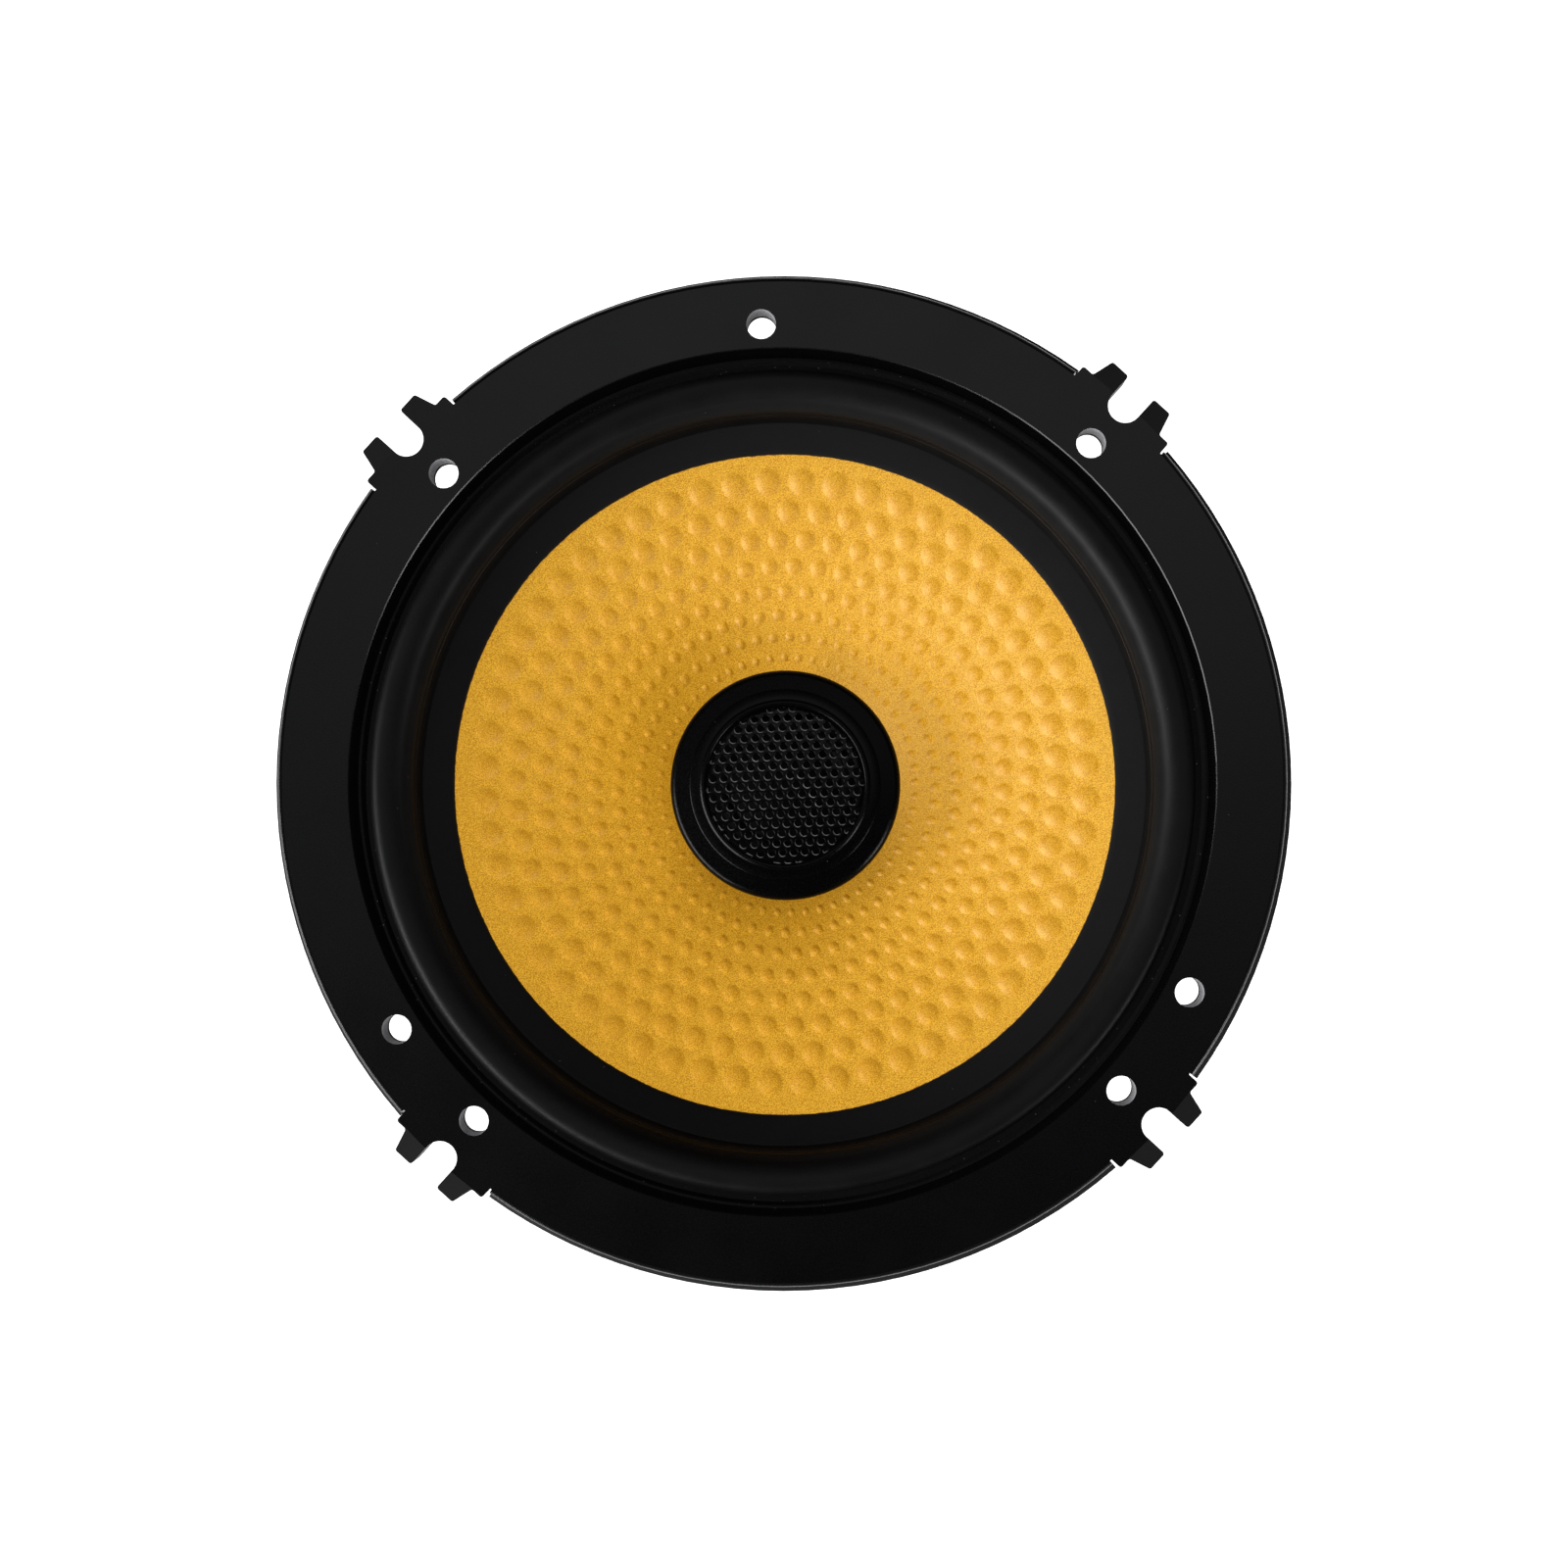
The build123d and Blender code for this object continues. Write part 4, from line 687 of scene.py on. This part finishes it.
def surround_skin():
    """The surround: a flange glued to the cone, a roll with a bead at its foot, and a collar in the bore."""
    lip_top = LEDGE_Z + SURROUND_WALL
    collar_r = BORE_R - GLUE_GAP
    collar_in = collar_r - SURROUND_WALL
    in_centre = (ROLL_CREST_R, ROLL_CREST_Z - ROLL_IN_ARC_R)
    out_centre = (ROLL_CREST_R, ROLL_CREST_Z - ROLL_OUT_ARC_R)
    arc_centre = (ROLL_CREST_R, in_centre[1] + ROLL_BEAD)
    flange_radii = np.linspace(SURROUND_IN_R, ROLL_IN_R, 12)
    top = [(r, cone_z(r, GLUE_GAP + SURROUND_WALL)) for r in flange_radii]
    top[0] = (SURROUND_IN_R + FLANGE_BEVEL, top[0][1])
    bead = quarter_arc((ROLL_IN_R + ROLL_BEAD, in_centre[1]), ROLL_BEAD, 180, 90, 5)
    roll = quarter_arc(arc_centre, ROLL_IN_ARC_R - ROLL_BEAD, 180, 90, 40)
    shoulder = quarter_arc(out_centre, ROLL_OUT_ARC_R, 90, 0, 16)
    collar = [
        (ROLL_OUT_R, lip_top),
        (collar_in, lip_top),
        (collar_in, COLLAR_TOP_Z - COLLAR_BEVEL),
        (collar_in + COLLAR_BEVEL, COLLAR_TOP_Z),
        (collar_r, COLLAR_TOP_Z),
        (collar_r, LEDGE_Z),
        (ROLL_OUT_R - SURROUND_WALL, LEDGE_Z),
    ]
    under = quarter_arc(out_centre, ROLL_OUT_ARC_R - SURROUND_WALL, 0, 90, 10)
    under += quarter_arc(in_centre, ROLL_IN_ARC_R - SURROUND_WALL, 90, 180, 30)[1:]
    under_radii = np.linspace(ROLL_IN_R + SURROUND_WALL, SURROUND_IN_R, 12)
    under += [(r, cone_z(r, GLUE_GAP)) for r in under_radii]
    section = top + bead + roll + shoulder[1:] + collar + under
    piece = lathe("surround_roll", section[::-1], 360, MATERIALS["surround_rubber"])
    blend_by_radius(piece)
    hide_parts("surround")


def spider_skin():
    """The corrugated spider between the former and the basket's shelf."""
    wave_step = (SPIDER_OUT_R - SPIDER_IN_R) / SPIDER_WAVES
    radii = np.linspace(SPIDER_IN_R, SPIDER_OUT_R, SPIDER_WAVES * 10 + 1)
    waves = SPIDER_WAVE_HEIGHT * np.sin((radii - SPIDER_IN_R) / wave_step * pi)
    front_z = SHELF_Z + SPIDER_WALL
    top = [(r, front_z + w) for r, w in zip(radii, waves)]
    under = [(r, SHELF_Z + w) for r, w in zip(radii, waves)]
    collar_in = FORMER_R + GLUE_GAP
    collar_out, collar_top = collar_in + SPIDER_WALL, SHELF_Z + SPIDER_COLLAR_HEIGHT
    collar = [(collar_in, SHELF_Z), (collar_in, collar_top), (collar_out, collar_top), (collar_out, front_z)]
    edge_r = SHELF_R - 0.2 * MM
    section = collar + top + [(edge_r, front_z), (edge_r, SHELF_Z)] + under[::-1]
    piece = lathe("spider_disc", section[::-1], 180, MATERIALS["spider_cloth"])
    blend_by_radius(piece)
    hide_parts("spider")


def dome_surround_skin():
    """The small roll that carries the tweeter's dome."""
    roll_in, roll_out, rim_r = DOME_R - 0.15 * MM, 11.6 * MM, 13.0 * MM
    foot_z, thickness, rise = -9.05 * MM, 0.15 * MM, 0.8 * MM
    middle = (roll_in + roll_out) / 2
    top = arc((roll_in, foot_z), (middle, foot_z + rise), (roll_out, foot_z), 16)
    low = foot_z - thickness
    under = arc((roll_out - thickness, low), (middle, low + rise), (roll_in + thickness, low), 16)
    section = top + [(rim_r, foot_z), (rim_r, low)] + under
    piece = lathe("dome_surround_roll", section[::-1], 120, MATERIALS["dome_silk"])
    blend_by_radius(piece)
    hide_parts("tweeter_dome_surround")


# ---------------------------------------------------------------- tweeter bezel and grille


BEZEL_R = 15.85 * MM
BEZEL_IN_R = 12.4 * MM
BEZEL_LIP_Z = -4.87 * MM
BEZEL_SEAT_Z = -7.45 * MM
BEZEL_BACK_Z = -8.2 * MM


def below_lip(r, drop):
    """A point of the bezel's section, by its radius and how far it lies below the lip's top, both in mm."""
    return r * MM, BEZEL_LIP_Z - drop * MM


def bezel_skin():
    """The ring round the grille: a lip bevelled on its outer side, a flat that falls outwards, an edge."""
    seat_r = GRILLE_R + GLUE_GAP
    lip = arc((seat_r, BEZEL_LIP_Z - 0.43 * MM), below_lip(13.36, 0.1), below_lip(13.65, 0), 8)
    shoulder = arc(below_lip(13.75, 0), below_lip(13.84, 0.02), below_lip(13.9, 0.06), 4)
    flat = [below_lip(14.14, 0.23), below_lip(14.3, 0.28), below_lip(BEZEL_R / MM - 0.18, 0.31)]
    outside = [below_lip(BEZEL_R / MM, 0.44), (BEZEL_R, BEZEL_BACK_Z), (BEZEL_IN_R, BEZEL_BACK_Z)]
    seat = [(BEZEL_IN_R, BEZEL_SEAT_Z), (seat_r, BEZEL_SEAT_Z)]
    section = lip + shoulder + flat + outside + seat
    piece = lathe("bezel_ring", section[::-1], 240, MATERIALS["tweeter_plastic"])
    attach(piece, "basket")
    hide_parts("tweeter_bezel")


GRILLE_SHEET = 0.35 * MM
GRILLE_EDGE_ROUND = 0.17 * MM
GRILLE_MAX_EDGE = 0.4 * MM
GRILLE_CROWN_Z = -5.5 * MM
GRILLE_DROP = 0.8 * MM
GRILLE_UNEVEN = 0.05 * MM
GRILLE_CROWN_R = 12.6 * MM
GRILLE_BEND_R = GRILLE_R - GRILLE_CROWN_R
GRILLE_BEND_LENGTH = GRILLE_BEND_R * pi / 2
GRILLE_SKIRT_Z = -7.4 * MM
GRILLE_SKIRT_TOP_Z = GRILLE_CROWN_Z - GRILLE_DROP - GRILLE_BEND_R
GRILLE_SHEET_R = GRILLE_CROWN_R + GRILLE_BEND_LENGTH + GRILLE_SKIRT_TOP_Z - GRILLE_SKIRT_Z

# The side of each hole's rim that carries the painted highlight, and the curved streak of painted glint
# across the grille.
GLINT_SIDE = (0.5, 0.86)
GLINT_STREAK_CENTRE = (-5.5 * MM, -6.5 * MM)
GLINT_STREAK_R = 10.5 * MM
GLINT_STREAK_START = 15
GLINT_STREAK_END = 88


@cache
def grille_holes():
    """Centres of the holes, on a hexagonal grid that covers the crown and the bend at its edge."""
    row_step = GRILLE_PITCH * sqrt(3) / 2
    places = []
    for row in range(-8, 9):
        for column in range(-9, 10):
            place = ((column + (row % 2) / 2) * GRILLE_PITCH, row * row_step)
            if hypot(*place) < GRILLE_SHEET_R - GRILLE_HOLE_R - 2 * GRILLE_EDGE_ROUND:
                places.append(place)
    return places


def add_circle(curve, centre, radius, points):
    """One more closed outline of the curve, as straight runs between points on a circle."""
    spline = curve.splines.new("POLY")
    spline.points.add(points - 1)
    for index, point in enumerate(spline.points):
        turn = 2 * pi * index / points
        point.co = (centre[0] + radius * cos(turn), centre[1] + radius * sin(turn), 0, 1)
    spline.use_cyclic_u = True


def painted_rim_glint(x, y, z):
    """How strong the painted highlight on a hole's front edge is: only on its lower left side, and twice as
    strong along a curved streak of painted glint.
    """
    away = [hypot(x - place[0], y - place[1]) for place in grille_holes()]
    nearest = min(away)
    if z < 0 or nearest > GRILLE_HOLE_R + 0.6 * GRILLE_EDGE_ROUND:
        return 0.0
    hole = grille_holes()[away.index(nearest)]
    facing = ((hole[0] - x) * GLINT_SIDE[0] + (hole[1] - y) * GLINT_SIDE[1]) / nearest
    across, up = x - GLINT_STREAK_CENTRE[0], y - GLINT_STREAK_CENTRE[1]
    off_glint_streak = abs(hypot(across, up) - GLINT_STREAK_R)
    in_reach = GLINT_STREAK_START < degrees(atan2(up, across)) < GLINT_STREAK_END
    on_glint_streak = (1 - smooth_step(off_glint_streak, 0.35 * MM, 0.7 * MM)) * in_reach
    return smooth_step(facing, 0.2, 0.9) * (0.5 + 0.5 * on_glint_streak)


def pressed(x, y, z):
    """Where a point of the flat sheet goes when it is pressed into a low dome with a turned-down skirt."""
    r = max(hypot(x, y), 1e-9)
    away = min(r / GRILLE_CROWN_R, 1)
    uneven = GRILLE_UNEVEN * sin(x / (2.9 * MM) + 0.8) * sin(y / (3.4 * MM) - 0.4) * (1 - away**4)
    crown_z = GRILLE_CROWN_Z - GRILLE_SHEET / 2 - GRILLE_DROP * away**2 + uneven
    past = r - GRILLE_CROWN_R
    if past <= 0:
        return x, y, crown_z + z
    turn = min(past / GRILLE_BEND_R, pi / 2)
    middle_r = GRILLE_BEND_R - GRILLE_SHEET / 2 + z
    new_r = GRILLE_CROWN_R + middle_r * sin(turn)
    down_skirt = max(past - GRILLE_BEND_LENGTH, 0)
    new_z = crown_z + GRILLE_SHEET / 2 - GRILLE_BEND_R + middle_r * cos(turn) - down_skirt
    return x * new_r / r, y * new_r / r, new_z


def grille_skin():
    """The perforated cap: a sheet with round-edged holes, pressed into an uneven dome with a skirt."""
    curve = bpy.data.curves.new("grille_outline", "CURVE")
    curve.dimensions = "2D"
    curve.fill_mode = "BOTH"
    add_circle(curve, (0, 0), GRILLE_SHEET_R - GRILLE_EDGE_ROUND, 120)
    for place in grille_holes():
        add_circle(curve, place, GRILLE_HOLE_R + GRILLE_EDGE_ROUND, 24)
    curve.extrude = GRILLE_SHEET / 2 - GRILLE_EDGE_ROUND
    curve.bevel_depth = GRILLE_EDGE_ROUND
    curve.bevel_resolution = 2
    outline = bpy.data.objects.new("grille_outline", curve)
    bpy.context.scene.collection.objects.link(outline)
    mesh = bpy.data.meshes.new_from_object(outline)
    bpy.data.objects.remove(outline)

    soup = bmesh.new()
    soup.from_mesh(mesh)
    bmesh.ops.remove_doubles(soup, verts=soup.verts, dist=0.002 * MM)
    bmesh.ops.recalc_face_normals(soup, faces=soup.faces)
    for _ in range(2):
        long_edges = [edge for edge in soup.edges if edge.calc_length() > GRILLE_MAX_EDGE]
        bmesh.ops.subdivide_edges(soup, edges=long_edges, cuts=1)
    # The painted highlight's strength, kept at the mesh's points for the grille's material.
    painted_glint = soup.verts.layers.float.new("painted_glint")
    for vertex in soup.verts:
        vertex[painted_glint] = painted_rim_glint(*vertex.co)
        vertex.co = pressed(*vertex.co)
    bmesh.ops.triangulate(soup, faces=soup.faces)
    soup.to_mesh(mesh)
    soup.free()
    mesh.materials.clear()
    mesh.materials.append(MATERIALS["grille_paint"])
    mesh.shade_smooth()
    mesh.set_sharp_from_angle(angle=radians(50))
    piece = bpy.data.objects.new("grille_mesh", mesh)
    bpy.context.scene.collection.objects.link(piece)
    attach(piece, "basket")
    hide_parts("tweeter_grille")


# ---------------------------------------------------------------- tinsel leads

STRANDS = 7
STRAND_TURN_LENGTH = 3.2 * MM
STRAND_OVERLAP = 1.08


def route_line(points):
    """Points along the smooth NURBS line that a lead's route gives."""
    curve = bpy.data.curves.new("route", "CURVE")
    curve.dimensions = "3D"
    curve.resolution_u = 24
    spline = curve.splines.new("NURBS")
    spline.points.add(len(points) - 1)
    for point, place in zip(spline.points, points):
        point.co = (*place, 1)
    spline.order_u = 3
    spline.use_endpoint_u = True
    holder = bpy.data.objects.new("route", curve)
    bpy.context.scene.collection.objects.link(holder)
    mesh = bpy.data.meshes.new_from_object(holder)
    line = np.array([v.co for v in mesh.vertices])
    bpy.data.objects.remove(holder)
    bpy.data.meshes.remove(mesh)
    return line


def line_frames(line):
    """Unit tangent and two steady cross directions at every point of a line."""
    tangents = np.gradient(line, axis=0)
    tangents /= np.linalg.norm(tangents, axis=1)[:, None]
    side = np.cross(tangents[0], (1.0, 0.3, 0.2))
    sides = []
    for tangent in tangents:
        side = side - tangent * side.dot(tangent)
        side /= np.linalg.norm(side)
        sides.append(side)
    sides = np.array(sides)
    return sides, np.cross(tangents, sides)


def tube(line, radius, around):
    """Vertices and faces of a closed tube along a line."""
    sides, ups = line_frames(line)
    angles = np.arange(around) * 2 * pi / around
    rings = line[:, None] + radius * (
        sides[:, None] * np.cos(angles)[None, :, None] + ups[:, None] * np.sin(angles)[None, :, None]
    )
    faces = ring_faces(around, len(line), closed=False).tolist()
    last = (len(line) - 1) * around
    faces.append(list(range(around))[::-1])
    faces.append([last + index for index in range(around)])
    return rings.reshape(-1, 3), faces


def tinsel_skin(name, side, node):
    """A flexible lead of twisted copper strands, from its terminal to the cone's back."""
    end_z = float(cone_z(hypot(*TINSEL_END), -CONE_WALL)) - 2 * TINSEL_R
    route = [
        (side * TERMINAL_X, -53.2 * MM, -28.6 * MM),
        (side * TERMINAL_X, -53.2 * MM, -22.5 * MM),
        (side * 12.0 * MM, -44.0 * MM, -17.8 * MM),
        (side * 10.0 * MM, -31.0 * MM, -21.6 * MM),
        (side * TINSEL_END[0], TINSEL_END[1], end_z),
    ]
    line = route_line(route)
    steps = np.linalg.norm(np.diff(line, axis=0), axis=1)
    travelled = np.concatenate([[0], np.cumsum(steps)])
    fine = np.linspace(0, travelled[-1], 160)
    line = np.stack([np.interp(fine, travelled, line[:, axis]) for axis in range(3)], axis=1)
    sides, ups = line_frames(line)
    strand_r = TINSEL_R / 3
    vertices, faces = [], []
    for strand in range(STRANDS):
        offset = 0.0 if strand == 0 else TINSEL_R - strand_r
        turns = 2 * pi * (strand / (STRANDS - 1) + fine / STRAND_TURN_LENGTH)
        path = line + offset * (sides * np.cos(turns)[:, None] + ups * np.sin(turns)[:, None])
        points, quads = tube(path, strand_r * STRAND_OVERLAP, 8)
        start = len(vertices)
        vertices += points.tolist()
        faces += [[start + index for index in face] for face in quads]
    piece = mesh_piece(name, vertices, faces, MATERIALS["tinsel_braid"])
    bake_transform(piece)
    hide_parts(node)


# ---------------------------------------------------------------- floor, light and camera

WHITE = (1.0, 1.0, 1.0, 1.0)
FLOOR_PALE = (0.8, 0.8, 0.8, 1.0)
FLOOR_GLOW = 0.75
FLOOR_REACH = 4.0

WALL_BRIGHT_AZIMUTH = 225
WALL_DIM = 0.06
WALL_BRIGHT = 0.14
ROOF_FROM = 54
ROOF_FULL = 64
ROOF_BRIGHT_AZIMUTH = 85
ROOF_DIM = 0.0
ROOF_BRIGHT = 1.6

KEY_PLACE = (206, 17, 0.8)
KEY_SIZE = (0.8, 0.34)

CAMERA_PLACE = (7.86 * MM, -9.68 * MM, 247 * MM)
CAMERA_TURN = -2.67
CAMERA_LENS = 34.84
CAMERA_SHIFT = (-0.0325, 0.03625)


def seen_directly(tree):
    """1 for rays from the camera, off glossy surfaces or through glass, and 0 for the light that falls."""
    path = tree.nodes.new("ShaderNodeLightPath")
    seen = path.outputs["Is Camera Ray"]
    for name in ("Is Glossy Ray", "Is Transmission Ray"):
        either = tree.nodes.new("ShaderNodeMath")
        either.operation = "MAXIMUM"
        tree.links.new(seen, either.inputs[0])
        tree.links.new(path.outputs[name], either.inputs[1])
        seen = either.outputs[0]
    return seen


def floor():
    """A pale floor under the speaker, which keeps its shadow."""
    material = bpy.data.materials.new("pale_floor")
    material.use_nodes = True
    tree = material.node_tree
    tree.nodes.clear()
    diffuse = tree.nodes.new("ShaderNodeBsdfDiffuse")
    diffuse.inputs["Color"].default_value = FLOOR_PALE
    glow = tree.nodes.new("ShaderNodeEmission")
    glow.inputs["Color"].default_value = WHITE
    strength = tree.nodes.new("ShaderNodeMath")
    strength.operation = "MULTIPLY"
    strength.inputs[1].default_value = FLOOR_GLOW
    tree.links.new(seen_directly(tree), strength.inputs[0])
    tree.links.new(strength.outputs[0], glow.inputs["Strength"])
    both = tree.nodes.new("ShaderNodeAddShader")
    tree.links.new(diffuse.outputs[0], both.inputs[0])
    tree.links.new(glow.outputs[0], both.inputs[1])
    output = tree.nodes.new("ShaderNodeOutputMaterial")
    tree.links.new(both.outputs[0], output.inputs["Surface"])
    mesh = bpy.data.meshes.new("floor")
    sides = ((-1, -1), (1, -1), (1, 1), (-1, 1))
    corners = [(x * FLOOR_REACH, y * FLOOR_REACH, cad_box[0][2]) for x, y in sides]
    mesh.from_pydata(corners, [], [(0, 1, 2, 3)])
    mesh.materials.append(material)
    plane = bpy.data.objects.new("floor", mesh)
    bpy.context.scene.collection.objects.link(plane)


def direction(azimuth, elevation):
    """Unit vector at an azimuth, counter-clockwise from +X, and an elevation, in degrees."""
    level = cos(radians(elevation))
    return np.array([level * cos(radians(azimuth)), level * sin(radians(azimuth)), sin(radians(elevation))])


def soft_box(name, place, size, watts, shows_in_gloss=True, lights_matt=True, casts_shadow=True):
    """A rectangular lamp aimed at the speaker, placed by azimuth, elevation and distance."""
    azimuth, elevation, distance = place
    lamp = bpy.data.lights.new(name, "AREA")
    lamp.shape = "RECTANGLE"
    lamp.size, lamp.size_y = size
    lamp.energy = watts
    lamp.use_shadow = casts_shadow
    piece = bpy.data.objects.new(name, lamp)
    piece.location = direction(azimuth, elevation) * distance
    piece.rotation_mode = "QUATERNION"
    piece.rotation_quaternion = Vector(-direction(azimuth, elevation)).to_track_quat("-Z", "Y")
    piece.visible_glossy = shows_in_gloss
    piece.visible_diffuse = lights_matt
    bpy.context.scene.collection.objects.link(piece)


def world():
    """A light tent: walls a little brighter towards the lower left, and a roof that is bright towards +Y."""
    made = bpy.data.worlds.new("light_tent")
    made.use_nodes = True
    tree = made.node_tree
    background = tree.nodes["Background"]
    coordinates = tree.nodes.new("ShaderNodeTexCoord")

    def towards(vector, low, high, to_low, to_high):
        """A number that changes as the sky's direction turns towards a vector."""
        dot = tree.nodes.new("ShaderNodeVectorMath")
        dot.operation = "DOT_PRODUCT"
        dot.inputs[1].default_value = vector
        tree.links.new(coordinates.outputs["Generated"], dot.inputs[0])
        ranged = tree.nodes.new("ShaderNodeMapRange")
        ranged.interpolation_type = "SMOOTHSTEP"
        tree.links.new(dot.outputs["Value"], ranged.inputs["Value"])
        for key, number in (("From Min", low), ("From Max", high), ("To Min", to_low), ("To Max", to_high)):
            ranged.inputs[key].default_value = number
        return ranged.outputs[0]

    part = tree.nodes.new("ShaderNodeMix")
    in_roof = towards((0.0, 0.0, 1.0), sin(radians(ROOF_FROM)), sin(radians(ROOF_FULL)), 0.0, 1.0)
    wall = towards(tuple(direction(WALL_BRIGHT_AZIMUTH, 0)), -1.0, 1.0, WALL_DIM, WALL_BRIGHT)
    roof = towards(tuple(direction(ROOF_BRIGHT_AZIMUTH, 0)), -0.25, 0.45, ROOF_DIM, ROOF_BRIGHT)
    for index, strength in ((0, in_roof), (2, wall), (3, roof)):
        tree.links.new(strength, part.inputs[index])
    tree.links.new(part.outputs[0], background.inputs["Strength"])
    background.inputs["Color"].default_value = WHITE
    bpy.context.scene.world = made


def camera():
    """Straight above the face, a little to the lower right, framed with a small shift."""
    lens = bpy.data.cameras.new("photo_camera")
    lens.sensor_width = 36
    lens.lens = CAMERA_LENS
    lens.shift_x, lens.shift_y = CAMERA_SHIFT
    lens.clip_start = 0.01
    piece = bpy.data.objects.new("photo_camera", lens)
    piece.location = CAMERA_PLACE
    piece.rotation_euler = (0, 0, radians(CAMERA_TURN))
    bpy.context.scene.collection.objects.link(piece)
    bpy.context.scene.camera = piece


# ---------------------------------------------------------------- the scene

dress_cad_nodes()
cone_skin()
surround_skin()
spider_skin()
dome_surround_skin()
bezel_skin()
grille_skin()
tinsel_skin("twisted_lead_positive", 1, "tinsel_lead_positive")
tinsel_skin("twisted_lead_negative", -1, "tinsel_lead_negative")

floor()
world()
soft_box("key_gloss", KEY_PLACE, KEY_SIZE, 19.0, lights_matt=False)
soft_box("key_fill", KEY_PLACE, KEY_SIZE, 12.0, lights_matt=False, casts_shadow=False)
soft_box("second_gloss", (322, 13, 0.8), (0.25, 0.3), 7.0, lights_matt=False)
soft_box("left", (184, 27, 0.9), (0.6, 0.6), 6.3, shows_in_gloss=False, casts_shadow=False)
soft_box("right", (300, 32, 0.9), (0.6, 0.6), 4.8, shows_in_gloss=False, casts_shadow=False)
soft_box("back", (90, 32, 0.9), (0.6, 0.6), 2.0, shows_in_gloss=False, casts_shadow=False)
soft_box("top", (60, 82, 0.9), (0.8, 0.8), 0.5, shows_in_gloss=False)
camera()
bpy.context.scene.view_settings.view_transform = "Standard"
